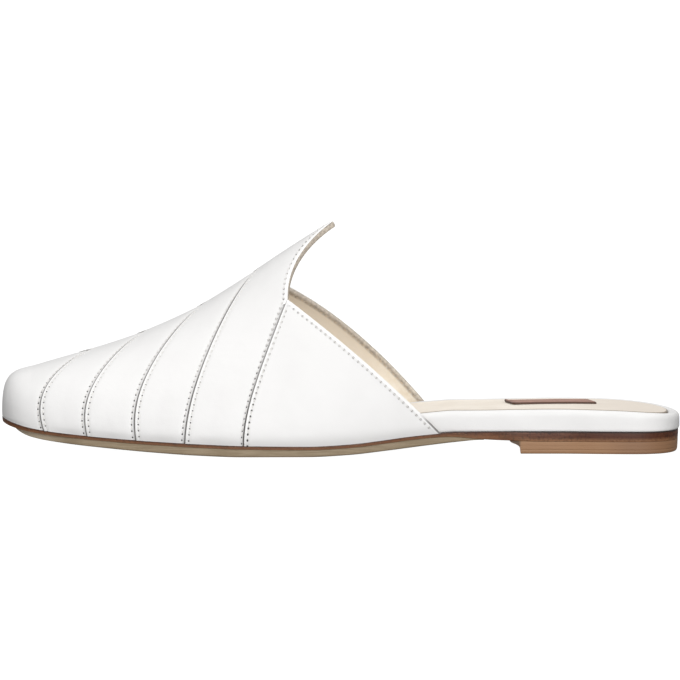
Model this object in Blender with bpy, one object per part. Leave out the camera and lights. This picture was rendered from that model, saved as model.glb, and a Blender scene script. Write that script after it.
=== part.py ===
"""A flat leather mule for the left foot: closed toe, pointed tongue, open back, low stacked heel.

Sizes are in millimetres until a mesh is written. X runs from the toe (-) to the heel (+), Y from the
outer side of the foot (-) to the inner side (+), and Z upwards from the floor.
"""

import math
from bisect import bisect_right
from typing import Callable, NamedTuple

import bmesh
import bpy
from mathutils import Vector

MM = 0.001
OUTER = -1
INNER = 1
SIDES = (OUTER, INNER)

# Overall plan of the shoe
TOE_X = -129.9
HEEL_X = 130.0
TOE_Y = 2.0
HEEL_Y = -4.0
TOE_ROUND = 30.0
TOE_POWER = 2.3
HEEL_ROUND = {OUTER: 20.0, INNER: 34.0}
HEEL_POWER = {OUTER: 2.8, INNER: 1.95}

# Walls and seats
GAP = 0.3
UPPER_WALL = 1.8
SEAM_STEP = 0.7
RIDGE_STEP = 0.4
SEAM_RAMP = 0.8
SEAM_FADE = 10.0

# Footbed: a leather-wrapped rim around a thin sock
RIM_HEEL_X = 130.5
RIM_LIP = 4.6
SOCK_DEPTH = 2.1
SOCK_DROP = 0.6
TUCK = UPPER_WALL + 0.4
TUCK_START_X = 38.0
TUCK_END_X = 66.0

# Label patch on the sock
LABEL_X = 81.0
LABEL_Y = 5.0
LABEL_LENGTH = 32.5
LABEL_WIDTH = 14.0
LABEL_YAW = math.radians(-3.0)
LABEL_WALL = 0.8

# Outsole and heel block
OUTSOLE_TOE_X = -125.6
OUTSOLE_END_X = 54.0
EDGE_INSET = 0.4
BREAST_X = 68.9
BLOCK_HEEL_X = 130.0

# Tongue and topline
TONGUE_X = -2.9
TONGUE_POWER = 2.3
TONGUE_ROUND = 0.05
THROAT_X = -20.2
THROAT_Z = {OUTER: 59.3, INNER: 60.8}
QUARTER_FOOT_X = 38.7
TOPLINE_BOW = {OUTER: 2.6, INNER: 5.2}

# Grid of the upper
FAN_JOIN_X = -88.0
ROWS_ABOVE_THROAT = 8
ROWS_BELOW_THROAT = 9
TOE_COLUMNS = 9
PANEL_SHARES = (0.0, 0.3, 0.65, 1.0)
QUARTER_SHARES = (0.0, 0.1, 0.24, 0.4, 0.56, 0.7, 0.85, 1.0)


class Plan(NamedTuple):
    """Half widths of the sole at one station, before its ends are rounded."""

    x: float
    outer: float
    inner: float


PLAN = (
    Plan(-130, 30.0, 28.5),
    Plan(-119, 30.2, 29.6),
    Plan(-107, 31.8, 31.9),
    Plan(-92, 36.2, 35.8),
    Plan(-73, 40.2, 39.2),
    Plan(-54, 43.0, 40.3),
    Plan(-38, 44.0, 38.6),
    Plan(-16, 43.6, 33.2),
    Plan(0, 42.0, 29.4),
    Plan(16, 39.4, 26.8),
    Plan(35, 35.0, 25.6),
    Plan(54, 31.0, 26.6),
    Plan(68, 28.0, 28.2),
    Plan(85, 28.0, 29.2),
    Plan(100, 29.6, 29.5),
    Plan(115, 30.5, 29.5),
    Plan(130, 30.5, 29.5),
)


class Sole(NamedTuple):
    """Heights at one station: the seat of the upper, the midsole's thickness and the tread."""

    x: float
    seat: float
    midsole: float
    tread: float


SOLE = (
    Sole(-130, 12.4, 1.9, 10.4),
    Sole(-126.7, 11.4, 1.8, 9.0),
    Sole(-119, 9.7, 1.5, 6.5),
    Sole(-107, 8.3, 1.35, 4.6),
    Sole(-92, 7.1, 1.3, 3.1),
    Sole(-73, 5.9, 1.3, 1.6),
    Sole(-54, 5.0, 1.3, 0.5),
    Sole(-38, 4.4, 1.3, 0.0),
    Sole(-12, 4.1, 1.3, 0.0),
    Sole(4, 4.8, 1.3, 0.7),
    Sole(16, 6.1, 1.3, 1.9),
    Sole(25, 7.2, 1.3, 2.9),
    Sole(35, 8.1, 1.3, 4.0),
    Sole(44, 8.7, 1.7, 4.9),
    Sole(54, 8.7, 2.8, 5.6),
    Sole(65, 8.65, 3.5, 5.6),
    Sole(80, 8.6, 3.9, 5.6),
    Sole(130, 8.6, 3.9, 5.6),
)


class Section(NamedTuple):
    """One cross-section of the last: its ridge, and how full each side's crown and wall are."""

    x: float
    ridge: float
    lean: float
    outer_crown: float
    outer_wall: float
    outer_bulge: float
    inner_crown: float
    inner_wall: float
    inner_bulge: float


SECTIONS = (
    Section(-118.3, 31.3, 2.0, 0.62, 0.62, 1.2, 0.62, 0.62, 1.2),
    Section(-103.0, 35.8, 2.0, 0.61, 0.61, 1.3, 0.61, 0.61, 1.3),
    Section(-87.5, 40.4, 1.9, 0.58, 0.58, 1.4, 0.58, 0.58, 1.4),
    Section(-72.0, 46.2, 1.7, 0.54, 0.54, 1.5, 0.55, 0.55, 1.5),
    Section(-56.7, 53.3, 1.4, 0.50, 0.50, 1.5, 0.53, 0.53, 1.6),
    Section(-41.3, 62.5, 1.0, 0.46, 0.46, 1.5, 0.52, 0.52, 1.8),
    Section(-26.0, 72.9, 0.6, 0.43, 0.43, 1.5, 0.52, 0.52, 2.4),
    Section(-10.6, 82.9, 0.2, 0.42, 0.42, 1.4, 0.52, 0.52, 3.2),
    Section(0.0, 89.3, 0.0, 0.42, 0.42, 1.2, 0.52, 0.52, 4.0),
    Section(20.0, 98.0, 0.0, 0.42, 0.42, 1.0, 0.50, 0.50, 4.5),
    Section(40.0, 104.0, 0.0, 0.42, 0.42, 0.6, 0.50, 0.50, 3.0),
)


class ToeBox(NamedTuple):
    """Handles of the curve that the ridge follows up the front of the toe."""

    front_x: float
    front_z: float
    corner_x: float
    corner_z: float


TOE_BOX = ToeBox(-130.4, 27.5, -127.3, 29.6)


# ---------------------------------------------------------------- curves


def track(rows: tuple, column: str) -> Callable[[float], float]:
    """A smooth curve through one column of a table, which never overshoots its rows."""
    xs = [row.x for row in rows]
    ys = [getattr(row, column) for row in rows]
    steps = [b - a for a, b in zip(xs, xs[1:])]
    grades = [(b - a) / h for a, b, h in zip(ys, ys[1:], steps)]
    slopes = [grades[0]]
    for before, after, left, right in zip(grades, grades[1:], steps, steps[1:]):
        if before * after <= 0:
            slopes.append(0.0)
            continue
        heavy, light = 2 * right + left, right + 2 * left
        slopes.append((heavy + light) / (heavy / before + light / after))
    slopes.append(grades[-1])

    def at(x: float) -> float:
        if x <= xs[0]:
            return ys[0] + slopes[0] * (x - xs[0])
        if x >= xs[-1]:
            return ys[-1] + slopes[-1] * (x - xs[-1])
        k = bisect_right(xs, x) - 1
        u = (x - xs[k]) / steps[k]
        start, end = slopes[k] * steps[k], slopes[k + 1] * steps[k]
        rise = ys[k + 1] - ys[k]
        return ys[k] + u * (start + u * (3 * rise - 2 * start - end + u * (start + end - 2 * rise)))

    return at


def bezier(a: Vector, b: Vector, c: Vector, d: Vector, u: float) -> Vector:
    v = 1 - u
    return a * v**3 + b * (3 * v * v * u) + c * (3 * v * u * u) + d * u**3


def smoothstep(low: float, high: float, x: float) -> float:
    u = min(1.0, max(0.0, (x - low) / (high - low)))
    return u * u * (3 - 2 * u)


class Path:
    """A dense line that is read by its length."""

    def __init__(self, points: list[Vector]):
        self.points = points
        self.along = [0.0]
        for a, b in zip(points, points[1:]):
            self.along.append(self.along[-1] + (b - a).length)

    @property
    def length(self) -> float:
        return self.along[-1]

    def at(self, along: float) -> Vector:
        k = min(max(bisect_right(self.along, along) - 1, 0), len(self.points) - 2)
        share = (along - self.along[k]) / (self.along[k + 1] - self.along[k])
        return self.points[k].lerp(self.points[k + 1], share)

    def direction(self, along: float) -> Vector:
        k = min(max(bisect_right(self.along, along) - 1, 0), len(self.points) - 2)
        return (self.points[k + 1] - self.points[k]).normalized()


# ---------------------------------------------------------------- the last

PLAN_HALF = {OUTER: track(PLAN, "outer"), INNER: track(PLAN, "inner")}
SEAT = track(SOLE, "seat")
MIDSOLE = track(SOLE, "midsole")
TREAD = track(SOLE, "tread")
RIDGE = track(SECTIONS, "ridge")
LEAN = track(SECTIONS, "lean")
CROWN = {OUTER: track(SECTIONS, "outer_crown"), INNER: track(SECTIONS, "inner_crown")}
WALL = {OUTER: track(SECTIONS, "outer_wall"), INNER: track(SECTIONS, "inner_wall")}
BULGE = {OUTER: track(SECTIONS, "outer_bulge"), INNER: track(SECTIONS, "inner_bulge")}


def plan_y(side: int, x: float) -> float:
    """Sole edge before the ends are rounded."""
    return side * PLAN_HALF[side](x)


class Span(NamedTuple):
    """How far a layer reaches, and which of its ends are rounded rather than cut square."""

    toe: float
    heel: float
    round_toe: bool = True
    round_heel: bool = True


def plan_side(side: int, span: Span, count: int) -> list[Vector]:
    """One side of a layer's outline from toe to heel, evenly stepped round its rounded ends."""
    ends = count // 5
    toe_steps = ends if span.round_toe else 0
    heel_steps = ends if span.round_heel else 0
    points = []
    for k in range(toe_steps):
        angle = math.pi / 2 * k / toe_steps
        x = span.toe + TOE_ROUND * (1 - math.cos(angle) ** (2 / TOE_POWER))
        reach = math.sin(angle) ** (2 / TOE_POWER)
        points.append(Vector((x, TOE_Y + (plan_y(side, x) - TOE_Y) * reach)))
    start = span.toe + TOE_ROUND * span.round_toe
    end = span.heel - HEEL_ROUND[side] * span.round_heel
    middle = count - toe_steps - heel_steps
    for k in range(middle + 1):
        x = start + (end - start) * k / middle
        points.append(Vector((x, plan_y(side, x))))
    for k in range(1, heel_steps + 1):
        angle = math.pi / 2 * (1 - k / heel_steps)
        x = span.heel - HEEL_ROUND[side] * (1 - math.cos(angle) ** (2 / HEEL_POWER[side]))
        reach = math.sin(angle) ** (2 / HEEL_POWER[side])
        points.append(Vector((x, HEEL_Y + (plan_y(side, x) - HEEL_Y) * reach)))
    return points


def ridge_point(x: float) -> Vector:
    return Vector((x, LEAN(x), RIDGE(x)))


def toe_ridge() -> Path:
    """The ridge from the front of the seat up the toe and back to where the stations turn square."""
    first = SECTIONS[0].x
    start = Vector((TOE_X, TOE_Y, SEAT(TOE_X)))
    front = Vector((TOE_BOX.front_x, TOE_Y, TOE_BOX.front_z))
    corner = Vector((TOE_BOX.corner_x, TOE_Y, TOE_BOX.corner_z))
    points = [bezier(start, front, corner, ridge_point(first), k / 80) for k in range(81)]
    steps = 60
    points += [ridge_point(first + (FAN_JOIN_X - first) * k / steps) for k in range(1, steps + 1)]
    return Path(points)


def toe_foot(side: int) -> Path:
    """The seat's edge from the toe tip back to where the stations turn square."""
    flat = [p for p in plan_side(side, Span(TOE_X, HEEL_X), 1200) if p.x < FAN_JOIN_X]
    flat.append(Vector((FAN_JOIN_X, plan_y(side, FAN_JOIN_X))))
    return Path([Vector((p.x, p.y, SEAT(p.x))) for p in flat])


TOE_RIDGE = toe_ridge()
TOE_FOOT = {side: toe_foot(side) for side in SIDES}
FAN_START_X = FAN_JOIN_X - TOE_RIDGE.length / 1.04


def fan_length(path: Path, station: float) -> float:
    """How far along a toe path a station sits. It leaves the fan at the pace of the square stations."""
    share = (station - FAN_START_X) / (FAN_JOIN_X - FAN_START_X)
    join = path.direction(path.length)
    pace = (FAN_JOIN_X - FAN_START_X) / abs(join.x)
    return share * (2 * path.length - pace + share * (pace - path.length))


def station_ends(side: int, station: float) -> tuple[Vector, Vector, Vector]:
    """Ridge point, ridge direction and foot point of a station."""
    if station >= FAN_JOIN_X:
        ridge = ridge_point(station)
        along = (ridge_point(station + 0.5) - ridge_point(station - 0.5)).normalized()
        return ridge, along, Vector((station, plan_y(side, station), SEAT(station)))
    length = fan_length(TOE_RIDGE, station)
    ridge, along = TOE_RIDGE.at(length), TOE_RIDGE.direction(length)
    foot = TOE_FOOT[side].at(fan_length(TOE_FOOT[side], station))
    return ridge, along, foot


def foot_outward(side: int, station: float) -> Vector:
    """Level direction out of the seat's edge."""
    if station >= FAN_JOIN_X:
        x = station
        along = Vector((1.0, plan_y(side, x + 0.5) - plan_y(side, x - 0.5), 0.0)).normalized()
    else:
        along = TOE_FOOT[side].direction(fan_length(TOE_FOOT[side], station))
    return Vector((-side * along.y, side * along.x, 0.0)).normalized()


def last_point(side: int, station: float, girth: float) -> Vector:
    """A point of the last's skin. Girth runs from 0 at the ridge to 1 at the seat."""
    ridge, along, foot = station_ends(side, station)
    height = ridge.z - foot.z
    lie = ridge + CROWN[side](station) * (
        Vector((0.0, foot.y - ridge.y, 0.0)) + along * ((foot.x - ridge.x) * along.x)
    )
    bulge = BULGE[side](station) * min(1.0, height / 18.0)
    stand = foot + Vector((0.0, 0.0, WALL[side](station) * height)) + foot_outward(side, station) * bulge
    return bezier(ridge, lie, stand, foot, girth)


def last_normal(side: int, station: float, girth: float) -> Vector:
    """Outward direction of the skin, from small steps each way."""
    small = 0.25
    back, fore = station - small, station + small
    back = max(back, FAN_START_X + 0.05)
    low, high = max(0.0, girth - 0.01), min(1.0, girth + 0.01)
    along = last_point(side, fore, girth) - last_point(side, back, girth)
    if low == 0.0:
        across = Vector((0.0, side, 0.0))
    else:
        across = last_point(side, station, high) - last_point(side, station, low)
    return (along.cross(across) * side).normalized()


# ---------------------------------------------------------------- seams and openings


class Seam(NamedTuple):
    """A seam over the vamp: its tip on the ridge, its foot at the seat, and its run at each end."""

    tip: float
    sweep: float
    foot: float
    hook: float

    def at(self, share: float) -> float:
        """Station of the seam, at a share of its way from tip to foot."""
        u = share
        tip_part = self.tip * (1 + 2 * u) * (1 - u) ** 2 + self.sweep * u * (1 - u) ** 2
        foot_part = self.foot * u * u * (3 - 2 * u) - self.hook * u * u * (1 - u)
        return tip_part + foot_part


SEAMS = (
    Seam(-96.0, -42.0, -112.8, 14.0),
    Seam(-75.2, -42.0, -96.7, 12.0),
    Seam(-52.5, -50.0, -78.0, 10.0),
    Seam(-31.5, -44.0, -59.3, -3.0),
)
QUARTER_SEAM = Seam(THROAT_X, -27.0, -36.8, -2.0)


def girth_at_height(side: int, station: float, height: float) -> float:
    """Girth at which a station passes a height."""
    low, high = 0.0, 1.0
    for _ in range(40):
        middle = (low + high) / 2
        if last_point(side, station, middle).z > height:
            low = middle
        else:
            high = middle
    return (low + high) / 2


THROAT_GIRTH = {side: girth_at_height(side, THROAT_X, THROAT_Z[side]) for side in SIDES}


def topline_height(side: int, x: float) -> float:
    """Height of the quarter's top edge: a straight fall from throat to seat, bowed upwards."""
    share = (x - THROAT_X) / (QUARTER_FOOT_X - THROAT_X)
    foot = SEAT(QUARTER_FOOT_X)
    return THROAT_Z[side] + (foot - THROAT_Z[side]) * share + TOPLINE_BOW[side] * 4 * share * (1 - share)


def topline_station(side: int, girth: float) -> float:
    """Station at which the quarter's top edge crosses a line of equal girth."""
    low, high = THROAT_X, QUARTER_FOOT_X
    for _ in range(40):
        middle = (low + high) / 2
        point = last_point(side, middle, girth)
        if point.z < topline_height(side, point.x):
            low = middle
        else:
            high = middle
    return (low + high) / 2


def tongue_station(share: float) -> float:
    """Rear edge of the tongue, from its rounded tip (0) to the throat (1)."""
    eased = math.sqrt(share * share + TONGUE_ROUND**2)
    most = math.sqrt(1 + TONGUE_ROUND**2)
    reach = ((most - eased) / (most - TONGUE_ROUND)) ** TONGUE_POWER
    return THROAT_X + (TONGUE_X - THROAT_X) * reach


def band_edge(side: int, girth: float) -> float:
    """Rear edge of the last band: the tongue's free edge, then the seam to the quarter."""
    throat = THROAT_GIRTH[side]
    if girth <= throat:
        return tongue_station(girth / throat)
    return QUARTER_SEAM.at((girth - throat) / (1 - throat))


# ---------------------------------------------------------------- upper


class Column(NamedTuple):
    """One line of the upper's grid: its station and how far its panel stands off the last."""

    station: float
    lift: float


def fading_step(distance: float, girth: float) -> float:
    """Each panel laps over the one in front, less so on the ridge, then settles back onto the last."""
    step = RIDGE_STEP + (SEAM_STEP - RIDGE_STEP) * smoothstep(0.0, 0.3, girth)
    return step * max(0.0, 1 - distance / SEAM_FADE) ** 2


def panel_columns(start: float, end: float, girth: float) -> list[Column]:
    """Columns from just behind one seam to just in front of the next."""
    first, last = start + SEAM_RAMP / 2, end - SEAM_RAMP / 2
    stations = [first + (last - first) * share for share in PANEL_SHARES]
    return [Column(s, fading_step(s - first, girth)) for s in stations]


def vamp_columns(side: int, girth: float) -> list[Column]:
    """All columns from the toe to the rear edge of the last band."""
    edges = [seam.at(girth) for seam in SEAMS]
    toe_end = edges[0] - SEAM_RAMP / 2
    columns = [
        Column(FAN_START_X + (toe_end - FAN_START_X) * k / TOE_COLUMNS, 0.0)
        for k in range(TOE_COLUMNS + 1)
    ]
    for start, end in zip(edges, edges[1:]):
        columns += panel_columns(start, end, girth)
    ramp = SEAM_RAMP / 2 * smoothstep(0.0, 0.1, girth - THROAT_GIRTH[side])
    rear = panel_columns(edges[-1], band_edge(side, girth) + SEAM_RAMP / 2 - ramp, girth)
    return columns + rear


def quarter_columns(side: int, girth: float) -> list[Column]:
    """Columns from the quarter's seam to its top edge."""
    opened = smoothstep(0.0, 0.1, girth - THROAT_GIRTH[side])
    start = band_edge(side, girth) + SEAM_RAMP / 2 * opened
    end = topline_station(side, girth)
    stations = [start + (end - start) * share for share in QUARTER_SHARES]
    return [Column(s, opened * fading_step(s - start, girth)) for s in stations]


def girth_rows(side: int) -> list[float]:
    """Girths of the grid's rows, from the ridge to the seat, with one at the throat."""
    throat = THROAT_GIRTH[side]
    above = [throat * (k / ROWS_ABOVE_THROAT) ** 1.25 for k in range(ROWS_ABOVE_THROAT)]
    below = [throat + (1 - throat) * k / ROWS_BELOW_THROAT for k in range(ROWS_BELOW_THROAT + 1)]
    return above + below


def wall_points(side: int, girth: float, column: Column) -> tuple[Vector, Vector]:
    """Outside and inside of the wall at one grid point."""
    if column.station <= FAN_START_X:
        toe = TOE_RIDGE.points[0]
        outside, inside = toe.copy(), toe + Vector((UPPER_WALL, 0.0, 0.0))
    else:
        skin = last_point(side, column.station, girth)
        normal = last_normal(side, column.station, girth)
        outside, inside = skin + normal * column.lift, skin - normal * UPPER_WALL
    if girth >= 1.0 or column.station <= FAN_START_X:
        for point in (outside, inside):
            point.z = SEAT(point.x) + GAP
    return outside, inside


class Wall:
    """A wall grown as two matched skins, outside and inside, and closed round its free edges."""

    def __init__(self):
        self.mesh = bmesh.new()
        self.known = {}

    def corner(self, key: tuple, points: tuple[Vector, Vector]) -> tuple:
        """The matched pair of vertices of one grid point, made once for each key."""
        if key not in self.known:
            self.known[key] = tuple(self.mesh.verts.new(p * MM) for p in points)
        return self.known[key]

    def patch(self, corners: list[tuple]) -> None:
        """One face outside and its partner inside, where the corners are distinct."""
        distinct = []
        for pair in corners:
            if pair not in distinct:
                distinct.append(pair)
        if len(distinct) < 3:
            return
        self.mesh.faces.new([pair[0] for pair in distinct])
        self.mesh.faces.new([pair[1] for pair in reversed(distinct)])

    def close(self) -> None:
        """Joins the two skins along every free edge."""
        partner = {pair[0]: pair[1] for pair in self.known.values()}
        free = [e for e in self.mesh.edges if e.is_boundary and e.verts[0] in partner]
        for edge in free:
            a, b = edge.link_loops[0].vert, edge.link_loops[0].link_loop_next.vert
            self.mesh.faces.new((b, a, partner[a], partner[b]))


def build_upper() -> bpy.types.Object:
    wall = Wall()
    for side in SIDES:
        rows = girth_rows(side)
        grid = []
        for j, girth in enumerate(rows):
            columns = vamp_columns(side, girth)
            rear = len(columns) - 1
            if j >= ROWS_ABOVE_THROAT:
                columns += quarter_columns(side, girth)
            line = []
            for i, column in enumerate(columns):
                held = rear if j == ROWS_ABOVE_THROAT and i > rear else i
                key = (0, 0, 0) if i == 0 else (side * (j > 0), j, held)
                line.append(wall.corner(key, wall_points(side, girth, columns[held])))
            grid.append(line)
        for upper, lower in zip(grid, grid[1:]):
            width = min(len(upper), len(lower))
            for i in range(width - 1):
                corners = [upper[i], upper[i + 1], lower[i + 1], lower[i]]
                wall.patch(corners if side == INNER else corners[::-1])
    wall.close()
    return finished("upper", wall.mesh, "white_leather")


# ---------------------------------------------------------------- layers under the foot

Level = tuple[Callable[[float], float], Callable[[float], float]]


def plan_loop(span: Span, count: int) -> tuple[list[Vector], list[tuple[int, int]]]:
    """Closed outline of a layer, and which of its points face each other across the shoe."""
    outer, inner = plan_side(OUTER, span, count), plan_side(INNER, span, count)
    first = 1 if span.round_toe else 0
    last = count - 1 if span.round_heel else count
    loop = outer + inner[first : last + 1][::-1]
    pairs = []
    for k in range(count + 1):
        shared = k < first or k > last
        pairs.append((k, k if shared else count + 1 + last - k))
    return loop, pairs


def inset(loop: list[Vector], by: Callable[[float], float]) -> list[Vector]:
    """The outline drawn inwards, by a distance that may change along the shoe."""
    moved = []
    for k, point in enumerate(loop):
        before, after = loop[k - 1], loop[(k + 1) % len(loop)]
        along = (point - before).normalized() + (after - point).normalized()
        along.normalize()
        moved.append(point + Vector((-along.y, along.x)) * by(point.x))
    return moved


def build_layer(
    name: str,
    material: str,
    span: Span,
    levels: list[Level],
    crown: Callable[[float], float] = lambda x: 0.0,
    floor_crown: Callable[[float], float] = lambda x: 0.0,
    count: int = 52,
    columns: int = 1,
) -> bpy.types.Object:
    """A closed layer through outlines stacked from bottom to top, each with its inset and height."""
    mesh = bmesh.new()
    loop, pairs = plan_loop(span, count)
    rings = []
    for by, height in levels:
        ring = [Vector((p.x, p.y, height(p.x))) for p in inset(loop, by)]
        rings.append([mesh.verts.new(p * MM) for p in ring])
    for low, high in zip(rings, rings[1:]):
        for k in range(len(low)):
            n = (k + 1) % len(low)
            mesh.faces.new((low[k], low[n], high[n], high[k]))
    cap(mesh, rings[0], pairs, columns, floor_crown)
    cap(mesh, rings[-1], pairs, columns, crown)
    return finished(name, mesh, material)


def cap(mesh, ring: list, pairs: list, columns: int, crown: Callable[[float], float]) -> None:
    """Closes a ring with strips from its outer to its inner side, crowned towards the middle."""
    rows = []
    for a, b in pairs:
        if a == b:
            rows.append([ring[a]] * (columns + 1))
            continue
        row = [ring[a]]
        for j in range(1, columns):
            share = j / columns
            point = ring[a].co.lerp(ring[b].co, share)
            point.z += crown(point.x / MM) * MM * 4 * share * (1 - share)
            row.append(mesh.verts.new(point))
        rows.append(row + [ring[b]])
    for fore, back in zip(rows, rows[1:]):
        for j in range(columns):
            corners = []
            for vertex in (fore[j], fore[j + 1], back[j + 1], back[j]):
                if vertex not in corners:
                    corners.append(vertex)
            if len(corners) > 2:
                mesh.faces.new(corners)


class Footbed(NamedTuple):
    """Thickness of the wrapped footbed at its rim, and how far the sock's middle rises above it."""

    x: float
    thick: float
    crown: float


FOOTBED = (
    Footbed(-130, 3.0, 0.0),
    Footbed(-90, 3.3, 0.0),
    Footbed(-50, 3.8, 0.0),
    Footbed(-20, 4.6, 0.0),
    Footbed(0, 5.8, -0.2),
    Footbed(16, 7.0, -0.4),
    Footbed(32, 7.9, -0.5),
    Footbed(55, 7.8, -0.3),
    Footbed(82, 8.1, 0.8),
    Footbed(105, 7.7, 1.1),
    Footbed(119, 6.9, 0.4),
    Footbed(125, 6.3, 0.0),
    Footbed(130, 5.6, 0.0),
)
FOOTBED_THICK = track(FOOTBED, "thick")
FOOTBED_CROWN = track(FOOTBED, "crown")


def tuck(x: float) -> float:
    """How far the footbed draws in to fit inside the upper."""
    return TUCK * (1 - smoothstep(TUCK_START_X, TUCK_END_X, x))


def rim_top(x: float) -> float:
    return SEAT(x) + GAP + FOOTBED_THICK(x)


def build_footbed() -> bpy.types.Object:
    def drawn(extra: float) -> Callable[[float], float]:
        return lambda x: tuck(x) + extra

    def below(drop: float) -> Callable[[float], float]:
        return lambda x: rim_top(x) - drop

    def above_seat(rise: float) -> Callable[[float], float]:
        return lambda x: SEAT(x) + GAP + rise

    levels = [
        (drawn(0.5), above_seat(0.0)),
        (drawn(0.0), above_seat(0.6)),
        (drawn(0.0), below(2.0)),
        (drawn(0.5), below(0.8)),
        (drawn(1.9), below(0.0)),
        (drawn(3.5), below(0.15)),
        (drawn(RIM_LIP), below(SOCK_DROP)),
        (drawn(RIM_LIP + 0.1), below(SOCK_DEPTH)),
    ]
    span = Span(TOE_X, RIM_HEEL_X)
    return build_layer("footbed", "white_leather", span, levels, crown=FOOTBED_CROWN, columns=4)


def build_sock() -> bpy.types.Object:
    def drawn(extra: float) -> Callable[[float], float]:
        return lambda x: tuck(x) + RIM_LIP + 0.1 + GAP + extra

    levels = [
        (drawn(0.0), lambda x: rim_top(x) - SOCK_DEPTH + GAP),
        (drawn(0.0), lambda x: rim_top(x) - SOCK_DROP - 0.3),
        (drawn(0.5), lambda x: rim_top(x) - SOCK_DROP),
    ]
    return build_layer(
        "sock",
        "cream_leather",
        Span(TOE_X, RIM_HEEL_X),
        levels,
        crown=FOOTBED_CROWN,
        floor_crown=FOOTBED_CROWN,
        columns=4,
    )


def sock_top(x: float, y: float) -> float:
    """Height of the sock's face, crowned across its width."""
    lip = tuck(x) + RIM_LIP + 0.1 + GAP + 0.5
    low, high = plan_y(OUTER, x) + lip, plan_y(INNER, x) - lip
    share = (y - low) / (high - low)
    return rim_top(x) - SOCK_DROP + FOOTBED_CROWN(x) * 4 * share * (1 - share)


def build_label() -> bpy.types.Object:
    """A thin patch that follows the crown of the sock, turned a little out of line."""
    wall = Wall()
    steps_x, steps_y = 6, 4
    turn_x = Vector((math.cos(LABEL_YAW), -math.sin(LABEL_YAW)))
    turn_y = Vector((math.sin(LABEL_YAW), math.cos(LABEL_YAW)))
    centre = Vector((LABEL_X, LABEL_Y))
    grid = []
    for i in range(steps_x + 1):
        line = []
        for j in range(steps_y + 1):
            along, across = (i / steps_x - 0.5) * LABEL_LENGTH, (j / steps_y - 0.5) * LABEL_WIDTH
            spot = centre + turn_x * along + turn_y * across
            low = Vector((spot.x, spot.y, sock_top(spot.x, spot.y) + GAP))
            line.append(wall.corner((i, j), (low + Vector((0.0, 0.0, LABEL_WALL)), low)))
        grid.append(line)
    for fore, back in zip(grid, grid[1:]):
        for j in range(steps_y):
            wall.patch([fore[j], back[j], back[j + 1], fore[j + 1]])
    wall.close()
    return finished("label_patch", wall.mesh, "tan_leather")


def build_midsole() -> bpy.types.Object:
    levels = [
        (lambda x: EDGE_INSET, lambda x: SEAT(x) - MIDSOLE(x)),
        (lambda x: 0.0, lambda x: SEAT(x) - MIDSOLE(x) * 0.75),
        (lambda x: 0.0, lambda x: SEAT(x)),
    ]
    return build_layer("midsole", "brown_leather", Span(TOE_X, HEEL_X), levels, count=60)


def build_outsole() -> bpy.types.Object:
    levels = [
        (lambda x: EDGE_INSET + 0.5, TREAD),
        (lambda x: EDGE_INSET, lambda x: TREAD(x) * 0.7 + (SEAT(x) - MIDSOLE(x) - GAP) * 0.3),
        (lambda x: EDGE_INSET, lambda x: SEAT(x) - MIDSOLE(x) - GAP),
    ]
    span = Span(OUTSOLE_TOE_X, OUTSOLE_END_X, round_heel=False)
    return build_layer("outsole", "khaki_leather", span, levels)


class BlockLevel(NamedTuple):
    """One level of the heel block: its height, where its breast stands, and its inset."""

    z: float
    breast: float
    inset: float


def block_levels() -> list[BlockLevel]:
    top = SEAT(BREAST_X) - MIDSOLE(BREAST_X) - GAP
    return [
        BlockLevel(0.0, BREAST_X + 0.2, 0.8),
        BlockLevel(0.5, BREAST_X, 0.4),
        BlockLevel(2.2, BREAST_X, 0.25),
        BlockLevel(3.1, BREAST_X - 0.6, 0.2),
        BlockLevel(3.8, BREAST_X - 1.9, 0.15),
        BlockLevel(top, BREAST_X - 3.9, 0.15),
    ]


def build_heel_block() -> bpy.types.Object:
    """A short stacked heel, whose breast sweeps forward in a small fillet under the midsole."""
    mesh = bmesh.new()
    count = 20
    rings, pairs = [], []
    for level in block_levels():
        span = Span(level.breast, BLOCK_HEEL_X, round_toe=False)
        loop, pairs = plan_loop(span, count)
        ring = []
        for point in inset(loop, lambda x, by=level.inset: by):
            point.x = max(point.x, level.breast)
            z = min(level.z, SEAT(point.x) - MIDSOLE(point.x) - GAP)
            ring.append(mesh.verts.new(Vector((point.x, point.y, z)) * MM))
        rings.append(ring)
    for low, high in zip(rings, rings[1:]):
        for k in range(len(low)):
            n = (k + 1) % len(low)
            mesh.faces.new((low[k], low[n], high[n], high[k]))
    cap(mesh, rings[0], pairs, 1, lambda x: 0.0)
    cap(mesh, rings[-1], pairs, 1, lambda x: 0.0)
    return finished("heel_block", mesh, "stacked_leather")


# ---------------------------------------------------------------- finish


class Finish(NamedTuple):
    """Base colour and roughness of a material."""

    colour: tuple[float, float, float]
    roughness: float


FINISHES = {
    "white_leather": Finish((0.87, 0.86, 0.85), 0.45),
    "cream_leather": Finish((0.80, 0.72, 0.62), 0.60),
    "tan_leather": Finish((0.30, 0.14, 0.10), 0.50),
    "brown_leather": Finish((0.13, 0.06, 0.04), 0.50),
    "khaki_leather": Finish((0.30, 0.23, 0.16), 0.60),
    "stacked_leather": Finish((0.31, 0.19, 0.11), 0.50),
}


def material(name: str) -> bpy.types.Material:
    made = bpy.data.materials.get(name)
    if made is None:
        made = bpy.data.materials.new(name)
        made.use_nodes = True
        shader = made.node_tree.nodes["Principled BSDF"]
        shader.inputs["Base Color"].default_value = (*FINISHES[name].colour, 1.0)
        shader.inputs["Roughness"].default_value = FINISHES[name].roughness
    return made


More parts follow.
